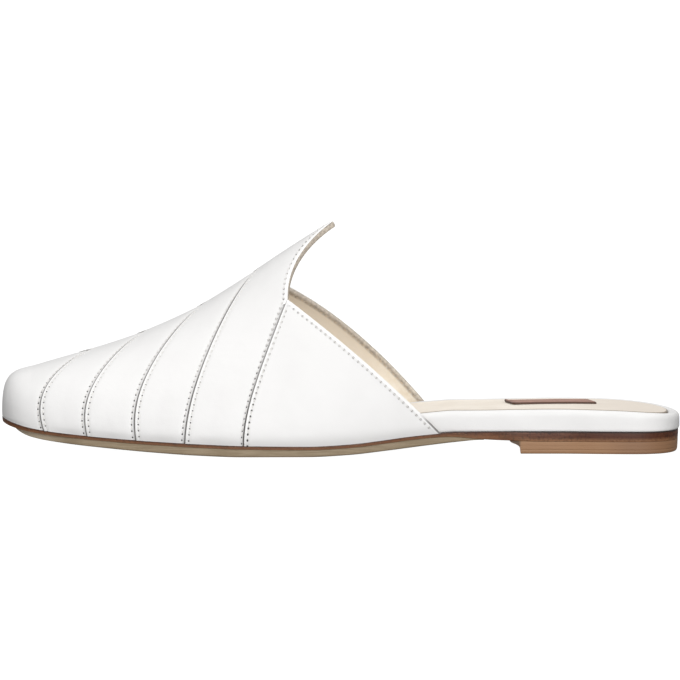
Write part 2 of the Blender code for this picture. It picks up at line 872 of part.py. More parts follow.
def finished(name: str, mesh: bmesh.types.BMesh, finish: str) -> bpy.types.Object:
    """The mesh as a named object with its faces outward and its edges shaded smooth."""
    bmesh.ops.recalc_face_normals(mesh, faces=mesh.faces)
    data = bpy.data.meshes.new(name)
    mesh.to_mesh(data)
    mesh.free()
    data.shade_smooth()
    data.set_sharp_from_angle(angle=math.radians(40))
    data.materials.append(material(finish))
    made = bpy.data.objects.new(name, data)
    bpy.context.scene.collection.objects.link(made)
    return made


def centre_on_floor(objects: list[bpy.types.Object]) -> None:
    """Moves every mesh so that the middle of the shoe's box stands over the origin."""
    corners = [v.co for made in objects for v in made.data.vertices]
    middle_x = (min(p.x for p in corners) + max(p.x for p in corners)) / 2
    middle_y = (min(p.y for p in corners) + max(p.y for p in corners)) / 2
    for made in objects:
        for vertex in made.data.vertices:
            vertex.co.x -= middle_x
            vertex.co.y -= middle_y


def main() -> None:
    for old in list(bpy.data.objects):
        bpy.data.objects.remove(old, do_unlink=True)
    objects = [
        build_upper(),
        build_footbed(),
        build_sock(),
        build_label(),
        build_midsole(),
        build_outsole(),
        build_heel_block(),
    ]
    centre_on_floor(objects)


if __name__ == "__main__":
    main()
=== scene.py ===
"""Looks of a flat leather mule for the left foot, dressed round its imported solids.

The shoe's shape is worked out in millimetres on the last's own axes: X runs from the toe (-) to the
heel (+), Y from the outer side of the foot (-) to the inner side (+), and Z upwards from the floor. A
mesh is moved into the frame and turned into metres as it is laid.

A point of the upper is named by its station, which grows from toe to heel, and by its turn round the
foot: -1 at the sole's outer edge, 0 on the ridge over the instep, and 1 at the sole's inner edge. A
turn's size, whatever its side, is its girth.
"""

import logging
import math
from dataclasses import dataclass, field
from enum import Enum
from typing import Callable, NamedTuple, Union

import bpy
import numpy as np
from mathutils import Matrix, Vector

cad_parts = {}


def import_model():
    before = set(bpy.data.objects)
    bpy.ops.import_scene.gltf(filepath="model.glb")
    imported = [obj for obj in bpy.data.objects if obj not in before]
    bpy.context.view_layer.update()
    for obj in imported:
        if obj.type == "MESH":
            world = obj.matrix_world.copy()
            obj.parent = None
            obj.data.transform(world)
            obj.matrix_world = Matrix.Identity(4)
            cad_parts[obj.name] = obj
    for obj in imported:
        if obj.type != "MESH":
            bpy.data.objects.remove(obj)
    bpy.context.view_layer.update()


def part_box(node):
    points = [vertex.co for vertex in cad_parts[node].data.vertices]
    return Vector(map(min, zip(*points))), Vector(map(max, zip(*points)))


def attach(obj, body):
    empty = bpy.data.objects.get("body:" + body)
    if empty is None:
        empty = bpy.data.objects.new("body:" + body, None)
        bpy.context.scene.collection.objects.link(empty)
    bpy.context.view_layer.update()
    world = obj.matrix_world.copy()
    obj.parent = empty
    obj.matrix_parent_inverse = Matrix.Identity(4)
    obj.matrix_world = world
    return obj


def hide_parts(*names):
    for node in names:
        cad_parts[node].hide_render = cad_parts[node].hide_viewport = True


LOG = logging.getLogger("mule")

MM = 0.001
OUTER = -1
INNER = 1

Array = np.ndarray
Number = Union[float, Array]
Course = Callable[[Array], Array]

# Overall plan of the shoe
TOE_X = -129.9
HEEL_X = 130.0
TOE_Y = 2.0
HEEL_Y = -4.0
TOE_ROUND = 30.0
TOE_POWER = 2.3
HEEL_ROUND = {OUTER: 20.0, INNER: 34.0}
HEEL_POWER = {OUTER: 2.8, INNER: 1.95}
FAN_JOIN_X = -88.0
FAN_PACE = 1.04

# Tongue and topline
TONGUE_X = -2.9
TONGUE_POWER = 2.3
TONGUE_ROUND = 0.05
THROAT_X = -20.2
THROAT_Z = {OUTER: 59.3, INNER: 60.8}
QUARTER_FOOT_X = 38.7
TOPLINE_BOW = {OUTER: 2.6, INNER: 5.2}

# Footbed, sock and patch
RIM_HEEL_X = 130.5
RIM_LIP = 4.6
SOCK_DROP = 0.06
TUCK = 2.2
TUCK_START_X = 38.0
TUCK_END_X = 66.0

# Leather and stitching: the height of a panel's flesh side off the last, the gap left where two parts
# meet, the pitch of the stitches, and a row's distance from a seam and from a turned edge
FLESH = -1.2
HAIR = 0.02
PITCH = 2.35
ROW = 1.35
EDGE_ROW = 1.7

# Outsole and heel block
OUTSOLE_TOE_X = -125.6
OUTSOLE_END_X = 55.5
BREAST_X = 68.9
BLOCK_HEEL_X = 130.0


class Plan(NamedTuple):
    """Half widths of the sole at one station, before its ends are rounded."""

    x: float
    outer: float
    inner: float


PLAN = (
    Plan(-130, 30.0, 28.5),
    Plan(-119, 30.2, 29.6),
    Plan(-107, 31.8, 31.9),
    Plan(-92, 36.2, 35.8),
    Plan(-73, 40.2, 39.2),
    Plan(-54, 43.0, 40.3),
    Plan(-38, 44.0, 38.6),
    Plan(-16, 43.6, 33.2),
    Plan(0, 42.0, 29.4),
    Plan(16, 39.4, 26.8),
    Plan(35, 35.0, 25.6),
    Plan(54, 31.0, 26.6),
    Plan(68, 28.0, 28.2),
    Plan(85, 28.0, 29.2),
    Plan(100, 29.6, 29.5),
    Plan(115, 30.5, 29.5),
    Plan(130, 30.5, 29.5),
)


class Sole(NamedTuple):
    """Heights at one station: the seat of the upper, the midsole's thickness and the tread."""

    x: float
    seat: float
    midsole: float
    tread: float


SOLE = (
    Sole(-130, 12.4, 1.9, 10.4),
    Sole(-126.7, 11.4, 1.8, 8.7),
    Sole(-119, 9.7, 1.5, 5.9),
    Sole(-107, 8.3, 1.35, 4.4),
    Sole(-92, 7.1, 1.3, 3.1),
    Sole(-73, 5.9, 1.3, 1.6),
    Sole(-54, 5.0, 1.3, 0.5),
    Sole(-38, 4.4, 1.3, 0.0),
    Sole(-12, 4.1, 1.3, 0.0),
    Sole(4, 4.8, 1.3, 0.7),
    Sole(16, 6.1, 1.3, 1.9),
    Sole(25, 7.2, 1.3, 2.9),
    Sole(35, 8.1, 1.3, 4.0),
    Sole(44, 8.7, 1.7, 4.9),
    Sole(54, 8.7, 2.8, 5.6),
    Sole(65, 8.65, 3.5, 5.6),
    Sole(80, 8.6, 3.9, 5.6),
    Sole(130, 8.6, 3.9, 5.6),
)


class Section(NamedTuple):
    """One cross-section of the last: its ridge, and how full each side's crown and wall are."""

    x: float
    ridge: float
    lean: float
    outer_crown: float
    outer_wall: float
    outer_bulge: float
    inner_crown: float
    inner_wall: float
    inner_bulge: float


SECTIONS = (
    Section(-118.3, 31.3, 2.0, 0.62, 0.62, 1.2, 0.62, 0.62, 1.2),
    Section(-103.0, 35.8, 2.0, 0.61, 0.61, 1.3, 0.61, 0.61, 1.3),
    Section(-87.5, 40.4, 1.9, 0.58, 0.58, 1.4, 0.58, 0.58, 1.4),
    Section(-72.0, 46.2, 1.7, 0.54, 0.54, 1.5, 0.55, 0.55, 1.5),
    Section(-56.7, 53.3, 1.4, 0.50, 0.50, 1.5, 0.53, 0.53, 1.6),
    Section(-41.3, 62.5, 1.0, 0.46, 0.46, 1.5, 0.52, 0.52, 1.8),
    Section(-26.0, 72.9, 0.6, 0.43, 0.43, 1.5, 0.52, 0.52, 2.4),
    Section(-10.6, 82.9, 0.2, 0.42, 0.42, 1.4, 0.52, 0.52, 3.2),
    Section(0.0, 89.3, 0.0, 0.42, 0.42, 1.2, 0.52, 0.52, 4.0),
    Section(20.0, 98.0, 0.0, 0.42, 0.42, 1.0, 0.50, 0.50, 4.5),
    Section(40.0, 104.0, 0.0, 0.42, 0.42, 0.6, 0.50, 0.50, 3.0),
)


class ToeBox(NamedTuple):
    """Handles of the curve that the ridge follows up the front of the toe."""

    front_x: float
    front_z: float
    corner_x: float
    corner_z: float


TOE_BOX = ToeBox(-130.4, 27.5, -127.3, 29.6)


class Footbed(NamedTuple):
    """Thickness of the wrapped footbed at its rim, and how far the sock's middle rises above it."""

    x: float
    thick: float
    crown: float


FOOTBED = (
    Footbed(-130, 3.0, 0.0),
    Footbed(-90, 3.3, 0.0),
    Footbed(-50, 3.8, 0.0),
    Footbed(-20, 4.6, 0.0),
    Footbed(0, 5.8, -0.2),
    Footbed(16, 7.0, -0.4),
    Footbed(32, 7.9, -0.5),
    Footbed(55, 7.8, -0.3),
    Footbed(82, 8.1, 0.1),
    Footbed(105, 7.7, 0.2),
    Footbed(119, 6.9, 0.1),
    Footbed(125, 6.3, 0.0),
    Footbed(130, 5.6, 0.0),
)


class Seam(NamedTuple):
    """A seam over the vamp: its tip on the ridge, its foot at the seat, and its run at each end."""

    tip: float
    sweep: float
    foot: float
    hook: float

    def at(self, share: Array) -> Array:
        """Station of the seam.

        Args:
            share: how far down it is, from 0 at its tip to 1 at its foot.

        Returns:
            The station at each share.
        """
        left = 1 - share
        tip_part = self.tip * (1 + 2 * share) * left**2 + self.sweep * share * left**2
        return tip_part + self.foot * share**2 * (3 - 2 * share) - self.hook * share**2 * left


SEAMS = (
    Seam(-95.6, -40.5, -112.8, 14.0),
    Seam(-74.7, -40.0, -96.7, 12.0),
    Seam(-51.9, -46.0, -78.0, 10.0),
    Seam(-31.3, -40.5, -59.3, -3.0),
)
QUARTER_SEAM = Seam(THROAT_X, -22.5, -36.8, 1.0)


# ---------------------------------------------------------------- curves


def unit(vectors: Array) -> Array:
    """Vectors of length one along the last axis."""
    return vectors / np.linalg.norm(vectors, axis=-1, keepdims=True)


def dot(first: Array, second: Array) -> Array:
    """Dot products, kept as a last axis of one."""
    return (first * second).sum(-1, keepdims=True)


def stack(x: Number, y: Number, z: Number) -> Array:
    """Points from three coordinates of matching shapes."""
    return np.stack(np.broadcast_arrays(x, y, z), axis=-1).astype(float)


def smoothstep(low: float, high: float, x: Number) -> Array:
    """A soft step from 0 at low to 1 at high."""
    share = np.clip((np.asarray(x, float) - low) / (high - low), 0.0, 1.0)
    return share * share * (3 - 2 * share)


def steady(value: float) -> Course:
    """The same value everywhere."""
    return lambda places: np.full(np.shape(places), value)


def bezier(a: Array, b: Array, c: Array, d: Array, share: Array) -> Array:
    """Points of a cubic curve.

    Args:
        a: its start.
        b: the handle that it leaves towards.
        c: the handle that it arrives from.
        d: its end.
        share: how far along it each point is, from 0 to 1.

    Returns:
        The points.
    """
    u = np.asarray(share, float)[..., None]
    v = 1 - u
    return a * v**3 + b * (3 * v * v * u) + c * (3 * v * u * u) + d * u**3


class Track:
    """A smooth curve through one column of a table, which never overshoots its rows."""

    def __init__(self, rows: tuple, column: str) -> None:
        """Works out the curve's slope at each row.

        Args:
            rows: table rows in order of x.
            column: name of the column that the curve follows.
        """
        self.xs = np.array([row.x for row in rows], float)
        self.ys = np.array([getattr(row, column) for row in rows], float)
        self.steps = np.diff(self.xs)
        grades = np.diff(self.ys) / self.steps
        slopes = [grades[0]]
        for before, after, left, right in zip(grades, grades[1:], self.steps, self.steps[1:]):
            if before * after <= 0:
                slopes.append(0.0)
                continue
            heavy, light = 2 * right + left, right + 2 * left
            slopes.append((heavy + light) / (heavy / before + light / after))
        slopes.append(grades[-1])
        self.slopes = np.array(slopes)

    def __call__(self, x: Number) -> Array:
        """Value of the curve, which is carried on straight beyond the table's ends.

        Args:
            x: places along the shoe.

        Returns:
            The value at each place.
        """
        x = np.asarray(x, float)
        inside = np.clip(x, self.xs[0], self.xs[-1])
        last_row = len(self.steps) - 1
        k = np.clip(np.searchsorted(self.xs, inside, side="right") - 1, 0, last_row)
        share = (inside - self.xs[k]) / self.steps[k]
        start, end = self.slopes[k] * self.steps[k], self.slopes[k + 1] * self.steps[k]
        rise = self.ys[k + 1] - self.ys[k]
        bent = start + share * (3 * rise - 2 * start - end + share * (start + end - 2 * rise))
        slope = np.where(x < inside, self.slopes[0], self.slopes[-1])
        return self.ys[k] + share * bent + (x - inside) * slope


class Path:
    """A dense line that is read by its length."""

    def __init__(self, points: Array) -> None:
        """Measures the line.

        Args:
            points: the line's points in order, one to a row.
        """
        self.points = points
        self.along = np.concatenate([[0.0], np.cumsum(np.linalg.norm(np.diff(points, axis=0), axis=1))])
        self.directions = unit(np.gradient(points, self.along, axis=0))
        self.length = self.along[-1]

    def at(self, along: Array) -> Array:
        """Points at these lengths along the line."""
        return stack(*(np.interp(along, self.along, self.points[:, k]) for k in range(3)))

    def direction(self, along: Array) -> Array:
        """Directions of the line at these lengths."""
        return unit(stack(*(np.interp(along, self.along, self.directions[:, k]) for k in range(3))))


class Span(NamedTuple):
    """How far a layer reaches, and which of its ends are rounded rather than cut square."""

    toe: float
    heel: float
    round_toe: bool = True
    round_heel: bool = True


# ---------------------------------------------------------------- the last


class Last:
    """The form that the upper is pulled over, and the plan of everything under the foot."""

    def __init__(self) -> None:
        """Draws the tracks, and the paths round the toe."""
        self.half = {OUTER: Track(PLAN, "outer"), INNER: Track(PLAN, "inner")}
        self.seat = Track(SOLE, "seat")
        self.midsole = Track(SOLE, "midsole")
        self.tread = Track(SOLE, "tread")
        self.ridge = Track(SECTIONS, "ridge")
        self.lean = Track(SECTIONS, "lean")
        names = {OUTER: "outer", INNER: "inner"}
        self.crown = {side: Track(SECTIONS, f"{name}_crown") for side, name in names.items()}
        self.wall = {side: Track(SECTIONS, f"{name}_wall") for side, name in names.items()}
        self.bulge = {side: Track(SECTIONS, f"{name}_bulge") for side, name in names.items()}
        self.footbed_thick = Track(FOOTBED, "thick")
        self.footbed_crown = Track(FOOTBED, "crown")
        self.toe_ridge = self.draw_toe_ridge()
        self.toe_foot = {side: self.draw_toe_foot(side) for side in (OUTER, INNER)}
        self.fan_start = FAN_JOIN_X - self.toe_ridge.length / FAN_PACE
        self.throat = {side: self.turn_at_throat(side) for side in (OUTER, INNER)}

    def plan_y(self, side: int, x: Number) -> Array:
        """Sole edge before the ends are rounded."""
        return side * self.half[side](x)

    def plan_side(self, side: int, span: Span, count: int) -> Array:
        """One side of a layer's outline from toe to heel.

        Args:
            side: OUTER or INNER.
            span: the layer's reach.
            count: steps along the side, a fifth of which go round each rounded end.

        Returns:
            Points as rows of x and y.
        """
        ends = count // 5
        toe_steps, heel_steps = ends * span.round_toe, ends * span.round_heel
        quarter = math.pi / 2 * np.arange(toe_steps) / max(toe_steps, 1)
        toe_x = span.toe + TOE_ROUND * (1 - np.cos(quarter) ** (2 / TOE_POWER))
        toe_y = TOE_Y + (self.plan_y(side, toe_x) - TOE_Y) * np.sin(quarter) ** (2 / TOE_POWER)
        start = span.toe + TOE_ROUND * span.round_toe
        end = span.heel - HEEL_ROUND[side] * span.round_heel
        power = HEEL_POWER[side]
        middle_x = np.linspace(start, end, count - toe_steps - heel_steps + 1)
        middle_y = self.plan_y(side, middle_x)
        quarter = math.pi / 2 * (1 - np.arange(1, heel_steps + 1) / max(heel_steps, 1))
        heel_x = span.heel - HEEL_ROUND[side] * (1 - np.cos(quarter) ** (2 / power))
        heel_y = HEEL_Y + (self.plan_y(side, heel_x) - HEEL_Y) * np.sin(quarter) ** (2 / power)
        xs = np.concatenate([toe_x, middle_x, heel_x])
        return np.stack([xs, np.concatenate([toe_y, middle_y, heel_y])], axis=-1)

    def ridge_point(self, x: Array) -> Array:
        """Top of the last at these stations."""
        return stack(x, self.lean(x), self.ridge(x))

    def draw_toe_ridge(self) -> Path:
        """Draws the ridge from the front of the seat, up the toe, to where the stations turn square.

        Returns:
            The ridge.
        """
        first = SECTIONS[0].x
        start = np.array([TOE_X, TOE_Y, float(self.seat(TOE_X))])
        front = np.array([TOE_BOX.front_x, TOE_Y, TOE_BOX.front_z])
        corner = np.array([TOE_BOX.corner_x, TOE_Y, TOE_BOX.corner_z])
        end = self.ridge_point(np.array(first))
        steps_up, steps_back = 1500, 1000
        up_the_toe = bezier(start, front, corner, end, np.linspace(0, 1, steps_up))
        over = self.ridge_point(np.linspace(first, FAN_JOIN_X, steps_back)[1:])
        return Path(np.concatenate([up_the_toe, over]))

    def draw_toe_foot(self, side: int) -> Path:
        """Draws the seat's edge from the toe tip back to where the stations turn square.

        Args:
            side: OUTER or INNER.

        Returns:
            The edge.
        """
        steps = 8000
        edge = self.plan_side(side, Span(TOE_X, HEEL_X), steps)
        edge = edge[edge[:, 0] < FAN_JOIN_X]
        join = np.array([[FAN_JOIN_X, float(self.plan_y(side, FAN_JOIN_X))]])
        edge = np.concatenate([edge, join])
        return Path(stack(edge[:, 0], edge[:, 1], self.seat(edge[:, 0])))

    def fan_length(self, path: Path, station: Array) -> Array:
        """How far along a toe path a station sits. It leaves the fan at the square stations' pace.

        Args:
            path: the ridge or the seat's edge round the toe.
            station: stations, held to the fan.

        Returns:
            Lengths along the path.
        """
        reach = FAN_JOIN_X - self.fan_start
        share = np.clip((station - self.fan_start) / reach, 0.0, 1.0)
        pace = reach / abs(path.directions[-1, 0])
        return share * (2 * path.length - pace + share * (pace - path.length))

    def ends(self, side: int, station: Array) -> tuple[Array, Array, Array]:
        """Both ends of each station's section.

        Args:
            side: OUTER or INNER.
            station: the stations.

        Returns:
            Points on the ridge, directions of the ridge, and points on the seat's edge.
        """
        square = np.maximum(station, FAN_JOIN_X)
        ridge = self.ridge_point(square)
        along = unit(self.ridge_point(square + 0.5) - self.ridge_point(square - 0.5))
        foot = stack(square, self.plan_y(side, square), self.seat(square))
        length = self.fan_length(self.toe_ridge, station)
        foot_path = self.toe_foot[side]
        in_fan = (station < FAN_JOIN_X)[..., None]
        ridge = np.where(in_fan, self.toe_ridge.at(length), ridge)
        along = np.where(in_fan, self.toe_ridge.direction(length), along)
        foot = np.where(in_fan, foot_path.at(self.fan_length(foot_path, station)), foot)
        return ridge, along, foot

    def outward(self, side: int, station: Array) -> Array:
        """Level directions out of the seat's edge.

        Args:
            side: OUTER or INNER.
            station: the stations.

        Returns:
            A direction for each station.
        """
        square = np.maximum(station, FAN_JOIN_X)
        slope = self.plan_y(side, square + 0.5) - self.plan_y(side, square - 0.5)
        along = unit(stack(1.0, slope, 0.0))
        path = self.toe_foot[side]
        in_fan = (station < FAN_JOIN_X)[..., None]
        along = np.where(in_fan, path.direction(self.fan_length(path, station)), along)
        return unit(stack(-side * along[..., 1], side * along[..., 0], 0.0))

    def half_skin(self, side: int, station: Array, girth: Array) -> Array:
        """Points of one side's skin.

        Args:
            side: OUTER or INNER.
            station: their stations.
            girth: how far down they are, from 0 at the ridge to 1 at the seat.

        Returns:
            The points.
        """
        full_height = 18.0
        ridge, along, foot = self.ends(side, station)
        height = ridge[..., 2:] - foot[..., 2:]
        reach = foot - ridge
        sideways = stack(0.0, reach[..., 1], 0.0)
        lengthways = along * (reach[..., :1] * along[..., :1])
        lie = ridge + self.crown[side](station)[..., None] * (sideways + lengthways)
        bulge = self.bulge[side](station)[..., None] * np.minimum(1.0, height / full_height)
        rise = stack(0.0, 0.0, self.wall[side](station) * height[..., 0])
        stand = foot + rise + self.outward(side, station) * bulge
        return bezier(ridge, lie, stand, foot, girth)

    def surface(self, station: Array, turn: Array) -> Array:
        """Points of the skin on either side of the ridge.

        Args:
            station: their stations.
            turn: their turns.

        Returns:
            The points.
        """
        station, turn = np.broadcast_arrays(np.asarray(station, float), np.asarray(turn, float))
        girth = np.clip(np.abs(turn), 0.0, 1.0)
        outer, inner = self.half_skin(OUTER, station, girth), self.half_skin(INNER, station, girth)
        return np.where((turn < 0)[..., None], outer, inner)

    def skin(self, station: Array, turn: Array) -> tuple[Array, Array]:
        """Points of the skin and the directions straight out of it.

        Args:
            station: their stations.
            turn: their turns.

        Returns:
            The points and the directions.
        """
        small_station, small_turn, off_tip = 0.25, 0.006, 0.05
        station, turn = np.broadcast_arrays(np.asarray(station, float), np.asarray(turn, float))
        back = np.maximum(station - small_station, self.fan_start + off_tip)
        fore = np.maximum(station + small_station, self.fan_start + off_tip + small_station)
        low, high = np.maximum(turn - small_turn, -1.0), np.minimum(turn + small_turn, 1.0)
        lengthways = self.surface(fore, turn) - self.surface(back, turn)
        held = np.maximum(station, self.fan_start + off_tip)
        across = self.surface(held, high) - self.surface(held, low)
        return self.surface(station, turn), unit(np.cross(lengthways, across))

    def turn_at_throat(self, side: int) -> float:
        """Girth at which the throat's station passes the throat's height.

        Args:
            side: OUTER or INNER.

        Returns:
            The girth.
        """
        girths = np.linspace(0, 1, 4001)
        heights = self.half_skin(side, np.full(4001, THROAT_X), girths)[:, 2]
        return float(np.interp(-THROAT_Z[side], -heights, girths))

    def topline_height(self, side: int, x: Array) -> Array:
        """Height of the quarter's top edge: a straight fall from throat to seat, bowed upwards.

        Args:
            side: OUTER or INNER.
            x: places along the shoe.

        Returns:
            The height at each place.
        """
        share = (x - THROAT_X) / (QUARTER_FOOT_X - THROAT_X)
        foot = float(self.seat(QUARTER_FOOT_X))
        bow = TOPLINE_BOW[side] * 4 * share * (1 - share)
        return THROAT_Z[side] + (foot - THROAT_Z[side]) * share + bow

    def topline(self, side: int, girth: Array) -> Array:
        """Stations at which the quarter's top edge crosses these girths.

        Args:
            side: OUTER or INNER.
            girth: the girths.

        Returns:
            A station for each girth.
        """
        halvings = 40
        low, high = np.full(girth.shape, THROAT_X), np.full(girth.shape, QUARTER_FOOT_X)
        for _ in range(halvings):
            middle = (low + high) / 2
            point = self.half_skin(side, middle, girth)
            below = point[..., 2] < self.topline_height(side, point[..., 0])
            low, high = np.where(below, middle, low), np.where(below, high, middle)
        return (low + high) / 2

    def tongue(self, share: Array) -> Array:
        """Rear edge of the tongue.

        Args:
            share: how far down it is, from 0 at its rounded tip to 1 at the throat.

        Returns:
            The station at each share.
        """
        eased = np.sqrt(share * share + TONGUE_ROUND**2)
        most = math.sqrt(1 + TONGUE_ROUND**2)
        reach = np.clip((most - eased) / (most - TONGUE_ROUND), 0.0, None) ** TONGUE_POWER
        return THROAT_X + (TONGUE_X - THROAT_X) * reach

    def girth_and_throat(self, turn: Array) -> tuple[Array, Array]:
        """Girth of each turn, and the throat's girth on its side."""
        return np.abs(turn), np.where(turn < 0, self.throat[OUTER], self.throat[INNER])

    def band_edge(self, turn: Array) -> Array:
        """Rear edge of the last band: the tongue's free edge, then the seam to the quarter.

        Args:
            turn: turns round the foot.

        Returns:
            The station at each turn.
        """
        girth, throat = self.girth_and_throat(turn)
        tongue = self.tongue(np.minimum(girth / throat, 1.0))
        below = np.clip((girth - throat) / (1 - throat), 0.0, 1.0)
        return np.where(girth <= throat, tongue, QUARTER_SEAM.at(below))

    def rim(self, turn: Array) -> Array:
        """Edge of the whole upper: the tongue's free edge, then the quarter's top edge.

        Args:
            turn: turns round the foot.

        Returns:
            The station at each turn.
        """
        girth, throat = self.girth_and_throat(turn)
        tongue = self.tongue(np.minimum(girth / throat, 1.0))
        low = np.maximum(girth, throat)
        top = np.where(turn < 0, self.topline(OUTER, low), self.topline(INNER, low))
        return np.where(girth <= throat, tongue, top)

    def tuck(self, x: Array) -> Array:
        """How far the footbed draws in to fit inside the upper."""
        return TUCK * (1 - smoothstep(TUCK_START_X, TUCK_END_X, x))

    def rim_top(self, x: Array) -> Array:
        """Height of the wrapped rim."""
        return self.seat(x) + 0.3 + self.footbed_thick(x)

    def sock_top(self, x: Array, y: Array) -> Array:
        """Height of the sock's face, crowned across its width.

        Args:
            x: places along the shoe.
            y: places across it.

        Returns:
            The height at each place.
        """
        lip = self.tuck(x) + RIM_LIP + 0.9
        low, high = self.plan_y(OUTER, x) + lip, self.plan_y(INNER, x) - lip
        share = np.clip((y - low) / (high - low), 0.0, 1.0)
        return self.rim_top(x) - SOCK_DROP + self.footbed_crown(x) * 4 * share * (1 - share)


class Line:
    """A seam or an edge drawn over the last: a station for each turn, with its run, lie and pace."""

    def __init__(
        self, last: Last, turns: Array, stations: Array, spread: Number = ROW, bold: float = 0.0
    ) -> None:
        """Measures the line.

        Args:
            last: the form that it is drawn on.
            turns: turns in rising order.
            stations: the line's station at each turn.
            spread: distance of its stitches from it, at each turn or throughout.
            bold: how much more plainly it shows than a vamp seam, whose holes fade out on the ridge.
        """
        small = 0.5
        girth = np.abs(turns)
        plain = 0.1 * smoothstep(0.02, 0.12, girth) + 0.9 * smoothstep(0.2, 0.6, girth)
        self.shown = bold + np.maximum(plain, float(bold > 0))
        self.turns, self.stations = turns, stations
        self.spread = np.broadcast_to(spread, turns.shape)
        self.points = last.surface(stations, turns)
        run = np.concatenate([[0.0], np.cumsum(np.linalg.norm(np.diff(self.points, axis=0), axis=1))])
        self.run = run - np.interp(0.0, turns, run)
        self.lie = unit(np.gradient(self.points, self.run, axis=0))
        ahead = last.surface(stations + small, turns) - self.points
        self.pace = np.linalg.norm(ahead - dot(ahead, self.lie) * self.lie, axis=1) / small

    def measure(self, points: Array, stations: Array) -> Array:
        """Where points lie beside the line, in rows that match its turns.

        Args:
            points: points on the last, by row and column.
            stations: their stations.

        Returns:
            Distance as a share of the stitches' own, run in millimetres and 1, as a last axis of three.
        """
        offset = points - self.points[:, None]
        along = dot(offset, self.lie[:, None])
        across = np.linalg.norm(offset - along * self.lie[:, None], axis=-1)
        least = 0.6 * np.abs(stations - self.stations[:, None]) * self.pace[:, None]
        distance = np.maximum(across, least) / self.spread[:, None]
        return stack(distance, self.run[:, None] + along[..., 0], 1.0)


# ---------------------------------------------------------------- laying meshes


class Workbench:
    """Lays grids of points as closed meshes in the frame."""

    weld = 0.002 * MM
    sharpest = math.radians(50)

    def __init__(self, shift: Vector) -> None:
        """Keeps the way from the last's axes to the frame.

        Args:
            shift: offset of the last's origin in the frame, in metres.
        """
        self.shift = np.array(shift, float)

    def placed(self, points: Array) -> Array:
        """Points of the last in metres, in the frame."""
        return points * MM + self.shift

    def lay(self, name: str, points: Array, marks: dict[str, Array]) -> bpy.types.Object:
        """Lays a grid on rows of points, and joins it wherever its points meet.

        Args:
            name: the piece's name.
            points: rows and columns of points in millimetres.
            marks: vectors kept on the points, by name, for the piece's material.

        Returns:
            The new object, closed, smooth and with its faces outward.
        """
        rows, columns = points.shape[:2]
        bpy.ops.object.select_all(action="DESELECT")
        bpy.ops.mesh.primitive_grid_add(
            x_subdivisions=columns - 1, y_subdivisions=rows - 1, size=100 * MM, calc_uvs=False
        )
        made = bpy.context.object
        made.name = made.data.name = name
        made.data.vertices.foreach_set("co", self.placed(points).ravel())
        for mark, values in marks.items():
            kept = made.data.attributes.new(mark, "FLOAT_VECTOR", "POINT")
            kept.data.foreach_set("vector", np.broadcast_to(values, points.shape).ravel())
        self.close(made)
        return made

    def close(self, made: bpy.types.Object) -> None:
        """Merges points that meet, turns the faces outward and shades them smooth.

        Args:
            made: the object that was just laid.
        """
        bpy.ops.object.mode_set(mode="EDIT")
        bpy.ops.mesh.select_all(action="SELECT")
        bpy.ops.mesh.remove_doubles(threshold=self.weld)
        bpy.ops.mesh.normals_make_consistent(inside=False)
        bpy.ops.object.mode_set(mode="OBJECT")
        bpy.ops.object.shade_smooth_by_angle(angle=self.sharpest)

    def shell(self, name: str, face: Array, back: Array, marks: dict[str, Array]) -> bpy.types.Object:
        """A closed sheet of leather between two matched grids of points.

        Args:
            name: the piece's name.
            face: the side that shows, by row and column.
            back: the other side.
            marks: vectors for the face's points. The back's are taken from its own column's face.

        Returns:
            The new object.
        """

        def wrapped(front: Array, rear: Array) -> Array:
            """Rows of one grid run on round the other, with both end rows doubled."""
            ring = np.concatenate([front, rear[:, ::-1], front[:, :1]], axis=1)
            return np.concatenate([ring[:1], ring, ring[-1:]], axis=0)

        ring = wrapped(face, back)
        middle = (face + back) / 2
        closing = wrapped(middle, middle)
        ring[0], ring[-1] = closing[0], closing[-1]
        return self.lay(name, ring, {mark: wrapped(values, values) for mark, values in marks.items()})


